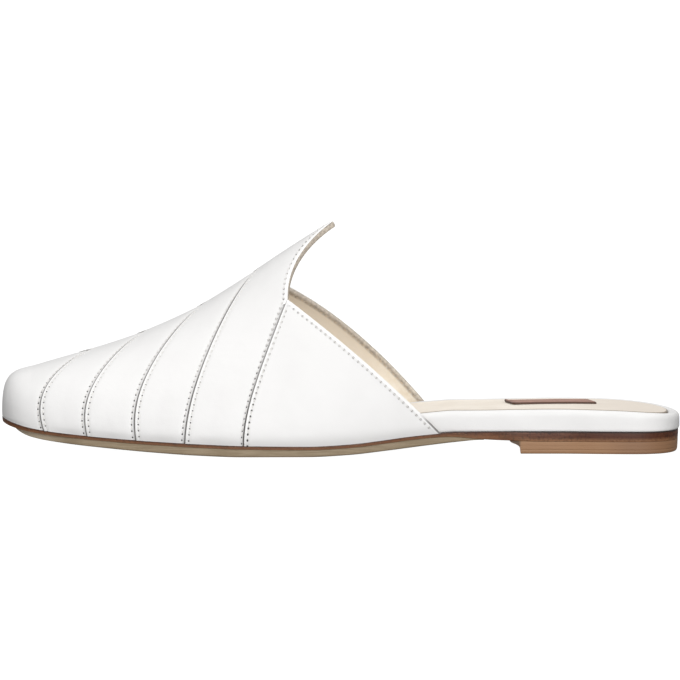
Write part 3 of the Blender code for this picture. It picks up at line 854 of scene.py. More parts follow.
class Layer:
    """A closed layer under the foot, lofted through outlines from its floor up to its face."""

    def __init__(self, last: Last, span: Span, count: int = 240) -> None:
        """Draws the outline.

        Args:
            last: the form that gives the plan.
            span: the layer's reach.
            count: steps along each side.
        """
        outer, inner = last.plan_side(OUTER, span, count), last.plan_side(INNER, span, count)
        first = 1 if span.round_toe else 0
        final = count - 1 if span.round_heel else count
        self.loop = np.concatenate([outer, inner[first : final + 1][::-1]])
        partner = np.arange(len(self.loop))
        back = np.arange(first, final + 1)
        partner[back] = count + 1 + final - back
        partner[count + 1 + final - back] = back
        self.partner = partner
        before, after = np.roll(self.loop, 1, axis=0), np.roll(self.loop, -1, axis=0)
        along = unit(unit(self.loop - before) + unit(after - self.loop))
        self.inward = np.stack([-along[:, 1], along[:, 0]], axis=-1)
        self.run = np.cumsum(np.linalg.norm(self.loop - before, axis=1))

    def ring(self, inset: Course, height: Course, front: float = -math.inf) -> Array:
        """The outline drawn in and set at a height.

        Args:
            inset: distance inwards at each x.
            height: height at each x.
            front: least x that the ring may reach.

        Returns:
            The ring's points.
        """
        moved = self.loop + self.inward * np.asarray(inset(self.loop[:, 0]))[..., None]
        x = np.maximum(moved[:, 0], front)
        return stack(x, moved[:, 1], height(x))

    def fill(self, ring: Array, crown: Course, count: int) -> Array:
        """Rings that close an outline over its middle line, crowned across the shoe.

        Args:
            ring: the outline's points.
            crown: rise of the middle at each x.
            count: how many rings.

        Returns:
            The rings from the outline's inside to the middle line.
        """
        shares = np.linspace(0, 0.5, count + 1)[1:, None, None]
        rings = ring + (ring[self.partner] - ring) * shares
        rings[..., 2] += crown(rings[..., 0]) * 4 * shares[..., 0] * (1 - shares[..., 0])
        return rings

    def loft(
        self, bench: Workbench, name: str, rings: list[Array], floor: Course, crown: Course, fill: int = 14
    ) -> bpy.types.Object:
        """Lays the layer through its rings and closes it below and above.

        Args:
            bench: where it is laid.
            name: the piece's name.
            rings: outlines from bottom to top.
            floor: rise of the underside's middle at each x.
            crown: rise of the top's middle at each x.
            fill: rings that close each side.

        Returns:
            The new object.
        """
        stacked = np.stack(rings)
        under = self.fill(rings[0], floor, fill)[::-1]
        over = self.fill(rings[-1], crown, fill)
        points = np.concatenate([under, stacked, over])
        steps = np.concatenate([np.zeros(fill), np.linspace(0, 1, len(rings)), np.ones(fill)])
        low, high = rings[0][:, 2], rings[-1][:, 2]
        rise = (points[..., 2] - low) / (high - low)
        marks = stack(rise, self.run, steps[:, None])
        closed = np.concatenate([points, points[:, :1]], axis=1)
        return bench.lay(name, closed, {"edge": np.concatenate([marks, marks[:, :1]], axis=1)})


# ---------------------------------------------------------------- shading


class Value:
    """A socket of a material, on which each step of arithmetic adds a Math node."""

    def __init__(self, recipe: "Recipe", socket: bpy.types.NodeSocket) -> None:
        """Keeps the socket and the material that it belongs to."""
        self.recipe = recipe
        self.socket = socket

    def __add__(self, other: "Operand") -> "Value":
        """Sum."""
        return self.recipe.math("ADD", self, other)

    def __radd__(self, other: "Operand") -> "Value":
        """Sum with the value on the right."""
        return self.recipe.math("ADD", other, self)

    def __sub__(self, other: "Operand") -> "Value":
        """Difference."""
        return self.recipe.math("SUBTRACT", self, other)

    def __rsub__(self, other: "Operand") -> "Value":
        """Difference with the value on the right."""
        return self.recipe.math("SUBTRACT", other, self)

    def __mul__(self, other: "Operand") -> "Value":
        """Product."""
        return self.recipe.math("MULTIPLY", self, other)

    def __rmul__(self, other: "Operand") -> "Value":
        """Product with the value on the right."""
        return self.recipe.math("MULTIPLY", other, self)

    def __truediv__(self, other: "Operand") -> "Value":
        """Quotient."""
        return self.recipe.math("DIVIDE", self, other)

    def __pow__(self, other: "Operand") -> "Value":
        """Power."""
        return self.recipe.math("POWER", self, other)

    def __abs__(self) -> "Value":
        """Size without sign."""
        return self.recipe.math("ABSOLUTE", self)

    def fraction(self) -> "Value":
        """What is left after the whole part is taken off."""
        return self.recipe.math("FRACT", self)

    def root(self) -> "Value":
        """Square root."""
        return self.recipe.math("SQRT", self)

    def most(self, other: "Operand") -> "Value":
        """The greater of the two."""
        return self.recipe.math("MAXIMUM", self, other)

    def wave(self) -> "Value":
        """Sine."""
        return self.recipe.math("SINE", self)

    def fade(self, start: float, end: float) -> "Value":
        """A soft step from 0 at start to 1 at end, which may be the lower of the two."""
        settings = {"interpolation_type": "SMOOTHSTEP"}
        return self.recipe.node("ShaderNodeMapRange", settings, {0: self, 1: start, 2: end})

    def fade_mm(self, start: float, end: float) -> "Value":
        """A soft step of a length in metres, between two places in millimetres."""
        return self.fade(start * MM, end * MM)


Operand = Union[Value, float]
Tone = tuple[float, float, float, float]


def linear(part: float) -> float:
    """Linear strength of one display value out of 255."""
    share = part / 255
    return share / 12.92 if share <= 0.04045 else ((share + 0.055) / 1.055) ** 2.4


def tone(red: float, green: float, blue: float) -> Tone:
    """A colour from its display values out of 255."""
    return linear(red), linear(green), linear(blue), 1.0


class Recipe:
    """One material, built node by node."""

    def __init__(self, name: str) -> None:
        """Starts an empty material.

        Args:
            name: the material's name.
        """
        self.material = bpy.data.materials.new(name)
        self.material.use_nodes = True
        self.tree = self.material.node_tree
        self.tree.nodes.clear()

    @classmethod
    def over(cls, tree: bpy.types.NodeTree) -> "Recipe":
        """A recipe on another node tree, emptied first.

        Args:
            tree: the tree, such as the sky's.

        Returns:
            The recipe.
        """
        made = cls.__new__(cls)
        made.tree = tree
        tree.nodes.clear()
        return made

    def node(
        self, kind: str, settings: dict | None = None, sockets: dict | None = None, output: int | str = 0
    ) -> Value:
        """Adds a node.

        Args:
            kind: the node's type.
            settings: its properties.
            sockets: values or links of its sockets, by name or number.
            output: the socket that is handed back.

        Returns:
            The chosen output.
        """
        made = self.tree.nodes.new(kind)
        for name, value in (settings or {}).items():
            setattr(made, name, value)
        for key, value in (sockets or {}).items():
            if isinstance(value, Value):
                self.tree.links.new(value.socket, made.inputs[key])
            else:
                made.inputs[key].default_value = value
        return Value(self, made.outputs[output])

    def math(self, operation: str, *values: Operand) -> Value:
        """A Math node on these values."""
        return self.node("ShaderNodeMath", {"operation": operation}, dict(enumerate(values)))

    def mix(self, share: Operand, first: Union[Value, Tone], second: Union[Value, Tone]) -> Value:
        """A colour between two, by a share."""
        return self.node("ShaderNodeMix", {"data_type": "RGBA"}, {0: share, 6: first, 7: second}, 2)

    def place(self, stretch: tuple[float, float, float] = (1.0, 1.0, 1.0)) -> Value:
        """The piece's own coordinates in metres.

        Args:
            stretch: how many times they are stretched along each axis.

        Returns:
            The coordinates as a vector.
        """
        own = self.node("ShaderNodeTexCoord", output="Object")
        if stretch == (1.0, 1.0, 1.0):
            return own
        return self.node("ShaderNodeMapping", sockets={"Vector": own, "Scale": stretch})

    def parts(self, vector: Value) -> tuple[Value, ...]:
        """The three parts of a vector."""
        split = self.node("ShaderNodeSeparateXYZ", sockets={0: vector}).socket.node
        return tuple(Value(self, part) for part in split.outputs)

    def mark(self, name: str) -> tuple[Value, ...]:
        """The three parts of a vector kept on the mesh."""
        return self.parts(self.node("ShaderNodeAttribute", {"attribute_name": name}, output="Vector"))

    def noise(self, size: float, vector: Value, detail: float = 3.0, rough: float = 0.55) -> Value:
        """Cloudy noise whose patches are about a size in millimetres."""
        sockets = {"Vector": vector, "Scale": 1 / (size * MM), "Detail": detail, "Roughness": rough}
        return self.node("ShaderNodeTexNoise", sockets=sockets)

    def pebbles(self, size: float, vector: Value) -> Value:
        """Distance from the middles of cells of a size in millimetres."""
        sockets = {"Vector": vector, "Scale": 1 / (size * MM)}
        return self.node("ShaderNodeTexVoronoi", {"feature": "F1"}, sockets)

    def leather_grain(self, place: Value) -> Value:
        """Relief of fine undyed leather."""
        return self.bump(self.pebbles(0.5, place).fade(0.0, 0.5) * 0.6 + self.noise(0.3, place), 0.02)

    def bump(self, height: Value, depth: float, under: Value | None = None) -> Value:
        """Relief of the surface.

        Args:
            height: its height, from 0 to 1.
            depth: what 1 is worth in millimetres.
            under: a relief that it lies over.

        Returns:
            The bent normal.
        """
        sockets = {"Height": height, "Distance": depth * MM, "Strength": 1.0}
        if under is not None:
            sockets["Normal"] = under
        return self.node("ShaderNodeBump", sockets=sockets)

    def finish(self, **sockets: Union[Value, float, Tone]) -> bpy.types.Material:
        """Ends the material in one Principled shader.

        Args:
            sockets: values or links of the shader, with underscores for the spaces in its names.

        Returns:
            The material.
        """
        named = {key.replace("_", " "): value for key, value in sockets.items()}
        shader = self.node("ShaderNodeBsdfPrincipled", sockets=named)
        self.node_output(shader)
        return self.material

    def node_output(self, shader: Value) -> None:
        """Links a shader to the material's output."""
        output = self.tree.nodes.new("ShaderNodeOutputMaterial")
        self.tree.links.new(shader.socket, output.inputs["Surface"])


def needle_holes(recipe: Recipe, mark: str, radius: Operand, stretch: Operand = 1.0) -> Value:
    """Mask of the holes along one stitched row.

    Args:
        recipe: the material that they are in.
        mark: the mesh's vector of distance from the seam, in shares of the row's, and run along it.
        radius: the holes' radius.
        stretch: how many times longer than wide a hole is drawn.

    Returns:
        1 in a hole and 0 outside.
    """
    across, run, _ = recipe.mark(mark)
    along = ((run / PITCH + 0.5).fraction() - 0.5) * PITCH / stretch
    aside = (across - 1.0) * ROW
    reach = (along * along + aside * aside).root()
    return (reach / radius).fade(1.25, 0.5)


class PanelMarks:
    """What a panel's mesh tells its finish: how near its seams are, and where it lies.

    A lap is the lip over the seam in front, and a tuck is the edge that runs on under the next lip.
    """

    def __init__(self, recipe: Recipe, place: Value) -> None:
        """Reads the marks.

        Args:
            recipe: the panel's material.
            place: the panel's own coordinates.
        """
        self.recipe = recipe
        own_x, _, self.own_z = recipe.parts(place)
        self.fore, _, self.lap = recipe.mark("fore")
        self.aft, _, self.sewn = recipe.mark("aft")
        self.rise, _, _ = recipe.mark("seat")
        self.laps, self.tucks = self.lap.fade(0.0, 0.1), self.sewn.fade(0.0, 0.1)
        self.off_toe = own_x.fade_mm(-122, -96)
        # Beside the seam to the quarter, whose holes are the widest in its upper part
        self.by_quarter = own_x.fade_mm(-42, -38) * self.own_z.fade_mm(64, 56) * self.tucks
        self.high = self.by_quarter * self.own_z.fade_mm(12, 32)

    def holes(self) -> Value:
        """Mask of the needle holes, which are wider beside the quarter and fade on the ridge.

        Returns:
            1 in a hole and 0 outside.
        """
        bold = (self.lap - 1.0).most(0.0)
        fore_holes = needle_holes(self.recipe, "fore", 0.28 + bold * 0.12, 1.0 + bold)
        pulled = abs(self.sewn).fade(0.1, 1.0).most(self.by_quarter * 0.85)
        radius = 0.31 - self.tucks * 0.03 + self.high * 0.1
        stretch = 1.6 - 0.4 * self.tucks + self.high * 0.4
        ending = self.rise.fade(1.4, 2.8).most(self.tucks)
        aft_holes = needle_holes(self.recipe, "aft", radius, stretch) * pulled * ending
        crossing = self.fore.fade(2.6, 1.4) * self.aft.fade(2.6, 1.4)
        return (fore_holes * self.lap.fade(0.1, 1.0)).most(aft_holes) * (1.0 - crossing * 0.8)


@dataclass(frozen=True)
class WhiteCalf:
    """Smooth white calf; where stitched, painted shade in its needle holes and seams, and painted highlights
    on its lips and turned edges.
    """

    name: str
    stitched: bool = False
    colour: Tone = tone(237, 236, 235)
    cloud: Tone = tone(235, 234, 233)
    # Painted highlight on the lips and turned edges
    painted_highlight: Tone = tone(252, 251, 250)
    # Painted shade in the grooves, along the seat and at the ends of the edges
    painted_shade: Tone = tone(88, 84, 81)
    # Painted shade in the needle holes
    hole_shade: Tone = tone(66, 62, 60)
    roughness: float = 0.42

    def build(self) -> bpy.types.Material:
        """Mixes the finish.

        Returns:
            The material.
        """
        recipe = Recipe(self.name)
        place = recipe.place()
        clouds = recipe.noise(16.0, place, 2.0).fade(0.35, 0.7)
        colour = recipe.mix(clouds, self.colour, self.cloud)
        pores = recipe.pebbles(0.55, place).fade(0.0, 0.55)
        grain = recipe.noise(0.35, place, 3.0)
        relief = recipe.bump(pores * 0.6 + grain * 0.5, 0.018)
        ripple = recipe.noise(7.0, place, 2.0, 0.4)
        relief = recipe.bump(ripple, 0.22, relief)
        rough = self.roughness + (grain - 0.5) * 0.12
        if self.stitched:
            marks = PanelMarks(recipe, place)
            holes = marks.holes()
            low = marks.own_z.fade_mm(82, 22) * 0.3 + 0.7
            # Painted shade in the needle holes, weaker higher up
            colour = recipe.mix(holes * low, self.shaded(recipe, marks, colour), self.hole_shade)
            relief = recipe.bump(1.0 - holes, 0.25, relief)
        return recipe.finish(Base_Color=colour, Roughness=rough, Normal=relief, IOR=1.45)

    def shaded(self, recipe: Recipe, marks: PanelMarks, colour: Value) -> Value:
        """Paints highlights on the lips and turned edges, and paints shade in the grooves, along the seat and
        at the ends of the edges.

        Args:
            recipe: the material.
            marks: what the mesh tells.
            colour: the plain leather.

        Returns:
            The colour with its light and shade.
        """
        # Painted highlight along the lips and the turned edges
        painted_highlight = (marks.fore.fade(0.75, 0.35) * marks.laps).most(marks.aft.fade(0.85, 0.6))
        colour = recipe.mix(painted_highlight * 0.8, colour, self.painted_highlight)
        # Painted shade where the tucked edge dips towards the groove
        shade = marks.aft.fade(1.3, 0.45) * marks.tucks
        colour = recipe.mix(shade * 0.22, colour, self.painted_shade)
        # Painted shade along the seat, faded out at the toe
        at_seat = marks.rise.fade(8.0, 0.0) ** 3.0 * marks.off_toe
        colour = recipe.mix(at_seat * 0.26, colour, self.painted_shade)
        # Painted shadow on the turned top edge near the seat
        corner = marks.aft.fade(0.6, 0.25) * marks.rise.fade(9.0, 4.0) * (1.0 - marks.tucks)
        colour = recipe.mix(corner * 0.85, colour, self.painted_shade)
        # Painted shade on the lip's front face and in the groove before it
        lip = marks.fore.fade(0.16, -0.02) * marks.laps
        seam = abs(marks.sewn)
        wide = (0.3 - seam * 0.3).most(seam * 0.2 - 0.2) + (1.0 - marks.off_toe) * 0.15
        groove_shade = (marks.aft - wide).fade(0.66, 0.16) * marks.tucks * (1.0 - marks.high * 0.3)
        return recipe.mix(lip.most(groove_shade), colour, self.painted_shade)


@dataclass(frozen=True)
class LiningCalf:
    """Undyed lining leather: painted shade, greyer under the vamp and paler towards the rear; its sewn edge
    greyer by its own tone and by painted shade.
    """

    name: str = "beige_lining"
    colour: Tone = tone(252, 243, 228)
    cloud: Tone = tone(240, 227, 205)
    # Painted shade under the vamp, where little light reaches the lining
    painted_vamp_shade: Tone = tone(243, 231, 213)
    # The cut edge's band: partly its own greyer tone, partly painted shade
    edge: Tone = tone(176, 166, 154)
    # Painted shade in the needle holes, and painted shadow where the quarters meet the rim
    hole_shade: Tone = tone(112, 102, 94)
    roughness: float = 0.62

    def build(self) -> bpy.types.Material:
        """Mixes the finish.

        Returns:
            The material.
        """
        recipe = Recipe(self.name)
        place = recipe.place()
        own_x, _, own_z = recipe.parts(place)
        clouds = recipe.noise(5.0, place, 4.0, 0.65).fade(0.35, 0.68)
        across, _, _ = recipe.mark("aft")
        holes = needle_holes(recipe, "aft", 0.27, 1.4)
        colour = recipe.mix(clouds, self.colour, self.cloud)
        # Painted shade under the vamp, fading out towards the rear
        colour = recipe.mix(own_x.fade_mm(22, 4), colour, self.painted_vamp_shade)
        # A mottled band along the cut edge, partly its own greyer tone and partly painted shade
        worn = across.fade(1.6, 0.9) * (recipe.noise(1.1, place, 3.0, 0.6).fade(0.3, 0.7) * 0.5 + 0.5)
        colour = recipe.mix(worn, colour, self.edge)
        # Painted shade in the needle holes
        colour = recipe.mix(holes * 0.4, colour, self.hole_shade)
        # Painted shadow where the quarter's edge meets the rim at the seat
        foot = own_z.fade_mm(17, 12) * across.fade(1.0, 0.4)
        colour = recipe.mix(foot * 0.75, colour, self.hole_shade)
        relief = recipe.bump(1.0 - holes, 0.2, recipe.leather_grain(place))
        return recipe.finish(Base_Color=colour, Roughness=self.roughness, Normal=relief, IOR=1.4)


@dataclass(frozen=True)
class SockCalf:
    """Cream sock leather, a little darker towards the heel end, with painted shade on its edge by the rim."""

    name: str = "cream_sock"
    colour: Tone = tone(254, 245, 232)
    cloud: Tone = tone(246, 236, 222)
    heel: Tone = tone(230, 219, 206)
    # Painted shade on the sock's edge in the slit by the rim
    edge: Tone = tone(150, 138, 124)
    roughness: float = 0.55

    def build(self) -> bpy.types.Material:
        """Mixes the finish.

        Returns:
            The material.
        """
        recipe = Recipe(self.name)
        place = recipe.place()
        clouds = recipe.noise(12.0, place, 3.0).fade(0.3, 0.7)
        colour = recipe.mix(clouds, self.colour, self.cloud)
        own_x, _, _ = recipe.parts(place)
        colour = recipe.mix(own_x.fade_mm(70, 116) * 0.75, colour, self.heel)
        _, _, level = recipe.mark("edge")
        # Painted shade on the edge wall, up to the sock's face
        colour = recipe.mix(level.fade(0.9, 0.7), colour, self.edge)
        relief = recipe.bump(recipe.noise(8.0, place, 2.0), 0.3, recipe.leather_grain(place))
        return recipe.finish(Base_Color=colour, Roughness=self.roughness, Normal=relief, IOR=1.4)


@dataclass(frozen=True)
class PatchCalf:
    """Brown leather of the bare patch, darker towards its rim and in its tooled border."""

    name: str = "brown_patch"
    colour: Tone = tone(176, 133, 116)
    cloud: Tone = tone(156, 113, 97)
    rim: Tone = tone(79, 55, 43)
    roughness: float = 0.5

    def build(self) -> bpy.types.Material:
        """Mixes the finish.

        Returns:
            The material.
        """
        recipe = Recipe(self.name)
        place = recipe.place()
        clouds = recipe.noise(4.0, place, 4.0).fade(0.3, 0.7)
        from_rim, _, tooled = recipe.mark("rim")
        colour = recipe.mix(clouds, self.colour, self.cloud)
        colour = recipe.mix(tooled * 0.55, colour, self.rim)
        colour = recipe.mix(from_rim.fade(0.75, 0.1), colour, self.rim)
        grain = recipe.pebbles(0.45, place).fade(0.0, 0.5) + recipe.noise(0.25, place)
        relief = recipe.bump(grain, 0.025)
        return recipe.finish(Base_Color=colour, Roughness=self.roughness, Normal=relief, IOR=1.4)


@dataclass(frozen=True)
class BurnishedEdge:
    """Waxed brown edge of the midsole, darkest along its top, with fibres that run lengthways."""

    name: str = "burnished_midsole"
    colour: Tone = tone(112, 70, 49)
    streak: Tone = tone(74, 38, 23)
    line: Tone = tone(40, 27, 23)
    fleck: Tone = tone(160, 118, 84)
    roughness: float = 0.45

    def build(self) -> bpy.types.Material:
        """Mixes the finish.

        Returns:
            The material.
        """
        recipe = Recipe(self.name)
        place = recipe.place()
        fibres = recipe.noise(1.0, recipe.place((0.12, 0.12, 2.2)), 4.0, 0.6)
        specks = recipe.noise(0.9, place, 3.0, 0.7)
        rise, _, _ = recipe.mark("edge")
        own_x, _, _ = recipe.parts(place)
        # Towards the front of the shoe: the edge is paler low down, more flecked, and less dark along its top
        worn = own_x.fade_mm(78, 50)
        colour = recipe.mix(fibres.fade(0.3, 0.7), self.colour, self.streak)
        colour = recipe.mix(specks.fade(0.48, 0.64) * 0.8, colour, self.line)
        under_heel = own_x.fade_mm(72, 105) * own_x.fade_mm(128, 119)
        colour = recipe.mix(under_heel * 0.75, colour, self.streak)
        colour = recipe.mix(rise.fade(0.95, 0.15) * worn * 0.42, colour, self.fleck)
        near_block = own_x.fade_mm(64, 72) * (specks.fade(0.65, 0.4) * 0.4 + 0.6)
        colour = recipe.mix(rise.fade(0.5, 0.0) * near_block * 0.75, colour, self.fleck)
        flecks = recipe.noise(0.45, place, 2.0, 0.6).fade(0.58, 0.7)
        colour = recipe.mix(flecks * worn * 0.6, colour, self.fleck)
        colour = recipe.mix(rise.fade(0.78, 0.98) * (1.0 - worn * 0.45), colour, self.line)
        relief = recipe.bump(fibres, 0.05)
        relief = recipe.bump(specks, 0.03, relief)
        rough = self.roughness + (fibres - 0.5) * 0.25
        return recipe.finish(Base_Color=colour, Roughness=rough, Normal=relief, Specular_IOR_Level=0.28)


@dataclass(frozen=True)
class SoleLeather:
    """Khaki sole leather: banded fibres round its edge, paler at the toe as painted bounce light from the
    floor, and a plain tread.
    """

    name: str = "khaki_outsole"
    colour: Tone = tone(158, 141, 117)
    band: Tone = tone(138, 121, 97)
    foot: Tone = tone(116, 100, 78)
    # Painted light: the toe's edge is lightened in place of light thrown up from the floor
    toe: Tone = tone(208, 192, 168)
    roughness: float = 0.58

    def build(self) -> bpy.types.Material:
        """Mixes the finish.

        Returns:
            The material.
        """
        recipe = Recipe(self.name)
        place = recipe.place()
        fibres = recipe.noise(1.0, recipe.place((0.1, 0.1, 1.8)), 4.0, 0.6)
        mottle = recipe.noise(3.0, place, 4.0, 0.6)
        rise, _, _ = recipe.mark("edge")
        own_x, _, _ = recipe.parts(place)
        colour = recipe.mix(fibres.fade(0.3, 0.7), self.colour, self.band)
        colour = recipe.mix(mottle.fade(0.45, 0.75) * 0.35, colour, self.band)
        colour = recipe.mix(rise.fade(0.25, 0.02) * 0.7, colour, self.foot)
        # Painted light towards the toe, in place of the floor's bounce
        colour = recipe.mix(own_x.fade_mm(-103, -119) * 0.9, colour, self.toe)
        relief = recipe.bump(fibres, 0.06)
        relief = recipe.bump(recipe.noise(0.4, place, 3.0, 0.7), 0.04, relief)
        rough = self.roughness + (mottle - 0.5) * 0.2
        return recipe.finish(Base_Color=colour, Roughness=rough, Normal=relief, IOR=1.4)


@dataclass(frozen=True)
class StackedLeather:
    """Brown heel of thin lifts, each with a fine dark joint, shaded at its breast and near its back."""

    name: str = "stacked_heel"
    colour: Tone = tone(160, 121, 88)
    back: Tone = tone(142, 106, 78)
    joint: Tone = tone(104, 76, 54)
    shadow: Tone = tone(66, 52, 40)
    lift: float = 1.55
    roughness: float = 0.5

    def build(self) -> bpy.types.Material:
        """Mixes the finish.

        Returns:
            The material.
        """
        recipe = Recipe(self.name)
        own_x, _, own_z = recipe.parts(recipe.place())
        fibres = recipe.noise(1.0, recipe.place((0.1, 0.1, 2.4)), 4.0, 0.65)
        in_lift = abs((own_z / (self.lift * MM)).fraction() - 0.5)
        joints = in_lift.fade(0.4, 0.49)
        near_back = own_x.fade_mm(97, 113) * own_x.fade_mm(135, 119)
        colour = recipe.mix(near_back, self.colour, self.back)
        colour = recipe.mix(fibres.fade(0.35, 0.7) * 0.25, colour, self.back)
        colour = recipe.mix(joints * 0.06, colour, self.joint)
        colour = recipe.mix(own_x.fade_mm(69.4, 68.2) * 0.85, colour, self.shadow)
        relief = recipe.bump(fibres, 0.05)
        relief = recipe.bump(1.0 - joints, 0.03, relief)
        rough = self.roughness
        return recipe.finish(Base_Color=colour, Roughness=rough, Normal=relief, Specular_IOR_Level=0.4)


@dataclass(frozen=True)
class Thread:
    """Waxed sewing thread, with a fine twist."""

    name: str
    colour: Tone
    shade: Tone
    roughness: float = 0.5

    def build(self) -> bpy.types.Material:
        """Mixes the finish.

        Returns:
            The material.
        """
        recipe = Recipe(self.name)
        along, _, _ = recipe.mark("ply")
        twist = (along * 14.0).wave() * 0.5 + 0.5
        fuzz = recipe.noise(0.2, recipe.place(), 2.0)
        colour = recipe.mix(fuzz.fade(0.4, 0.8) * 0.5, self.colour, self.shade)
        relief = recipe.bump(twist + fuzz * 0.4, 0.03)
        return recipe.finish(Base_Color=colour, Roughness=self.roughness, Normal=relief, IOR=1.45)


class Finish(Enum):
    """Every finish on the shoe."""

    PANEL = WhiteCalf("white_calf", stitched=True)
    WRAP = WhiteCalf("white_wrap")
    LINING = LiningCalf()
    SOCK = SockCalf()
    PATCH = PatchCalf()
    MIDSOLE = BurnishedEdge()
    OUTSOLE = SoleLeather()
    HEEL = StackedLeather()
    WHITE_THREAD = Thread("white_thread", tone(236, 234, 230), tone(214, 211, 206))
    BEIGE_THREAD = Thread("beige_thread", tone(214, 196, 172), tone(190, 170, 146))

    def material(self) -> bpy.types.Material:
        """The finish's material, made once."""
        return bpy.data.materials.get(self.value.name) or self.value.build()


def dress(piece: bpy.types.Object, finish: Finish, slot: str, *nodes: str) -> bpy.types.Object:
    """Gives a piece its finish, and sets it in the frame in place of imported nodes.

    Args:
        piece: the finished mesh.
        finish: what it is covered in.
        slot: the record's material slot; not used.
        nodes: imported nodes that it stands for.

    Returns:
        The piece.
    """
    piece.data.materials.clear()
    piece.data.materials.append(finish.material())
    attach(piece, "root")
    if nodes:
        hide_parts(*nodes)
    LOG.info("%s: %d faces", piece.name, len(piece.data.polygons))
    return piece


# ---------------------------------------------------------------- upper


class Profile(NamedTuple):
    """Cross-section of a panel's edge, from the edge inwards: distances and heights off the last."""

    face: Array
    back: Array


def profile(face: tuple, back: tuple) -> Profile:
    """A profile from two tables of pairs."""
    return Profile(np.array(face, float), np.array(back, float))


# A folded edge that laps over the panel in front, with its row of stitches pulled in
LIP = profile(
    (
        (0.55, -0.46), (0.25, -0.44), (0.08, -0.35), (0.0, -0.2), (-0.02, -0.02), (0.02, 0.16),
        (0.11, 0.32), (0.26, 0.44), (0.46, 0.51), (0.7, 0.52), (0.93, 0.48), (1.15, 0.41),
        (1.4, 0.36), (1.65, 0.41), (1.9, 0.47), (2.25, 0.51), (2.8, 0.5), (3.6, 0.44),
        (4.7, 0.34), (6.1, 0.22), (7.7, 0.1), (9.5, 0.0),
    ),
    (
        (0.8, -0.48), (0.95, -0.48), (1.1, -0.48), (1.25, -0.48), (1.4, -0.48), (1.6, -0.48),
        (1.8, -0.48), (2.0, -0.48), (2.2, -0.48), (2.4, -0.48), (2.6, -0.48), (2.8, -0.48),
        (3.0, -0.48), (3.2, -0.5), (3.5, -0.62), (3.8, -0.8), (4.1, -0.98), (4.5, -1.12),
        (5.0, -1.19), (6.2, -1.2), (7.8, -1.2), (9.5, -1.2),
    ),
)

# The edge that dips and runs on under a lip
TUCKED = profile(
    (
        (-3.0, -0.56), (-1.5, -0.53), (-0.4, -0.51), (0.1, -0.49), (0.35, -0.44), (0.65, -0.36),
        (0.95, -0.31), (1.25, -0.32), (1.55, -0.24), (1.95, -0.14), (2.5, -0.07), (3.3, -0.02),
        (4.4, 0.0),
    ),
    (
        (-3.0, -0.8), (-1.5, -1.0), (-0.4, -1.12), (0.1, -1.18), (0.35, -1.2), (0.65, -1.2),
        (0.95, -1.2), (1.25, -1.2), (1.55, -1.2), (1.95, -1.2), (2.5, -1.2), (3.3, -1.2),
        (4.4, -1.2),
    ),
)

# A turned edge that shows: the tongue and the quarters' top edges
FREE = profile(
    (
        (0.0, -0.33), (0.05, -0.22), (0.16, -0.11), (0.34, -0.03), (0.58, 0.0), (0.84, 0.0),
        (1.1, -0.05), (1.4, -0.12), (1.7, -0.07), (2.0, -0.03), (2.6, -0.01), (3.4, 0.0),
        (4.4, 0.0),
    ),
    (
        (0.04, -0.43), (0.13, -0.49), (0.35, -0.52), (0.6, -0.55), (0.9, -0.61), (1.2, -0.67),
        (1.5, -0.73), (1.8, -0.8), (2.2, -0.9), (2.6, -1.02), (3.1, -1.12), (3.7, -1.18),
        (4.4, -1.2),
    ),
)

# The lining's edge, doubled where it is turned in under the white fold
CUT = profile(
    (
        (0.0, -1.0), (0.02, -0.76), (0.1, -0.62), (0.28, -0.56), (0.6, -0.6), (0.9, -0.68),
        (1.2, -0.73), (1.5, -0.79), (1.9, -0.88), (2.4, -1.0), (3.0, -1.15), (3.7, -1.23),
        (4.4, -1.25),
    ),
    (
        (0.02, -1.6), (0.08, -2.1), (0.26, -2.46), (0.6, -2.6), (1.0, -2.5), (1.4, -2.3),
        (1.8, -2.14), (2.2, -2.08), (2.6, -2.0), (3.1, -1.92), (3.6, -1.86), (4.2, -1.82),
        (5.0, -1.8),
    ),
)


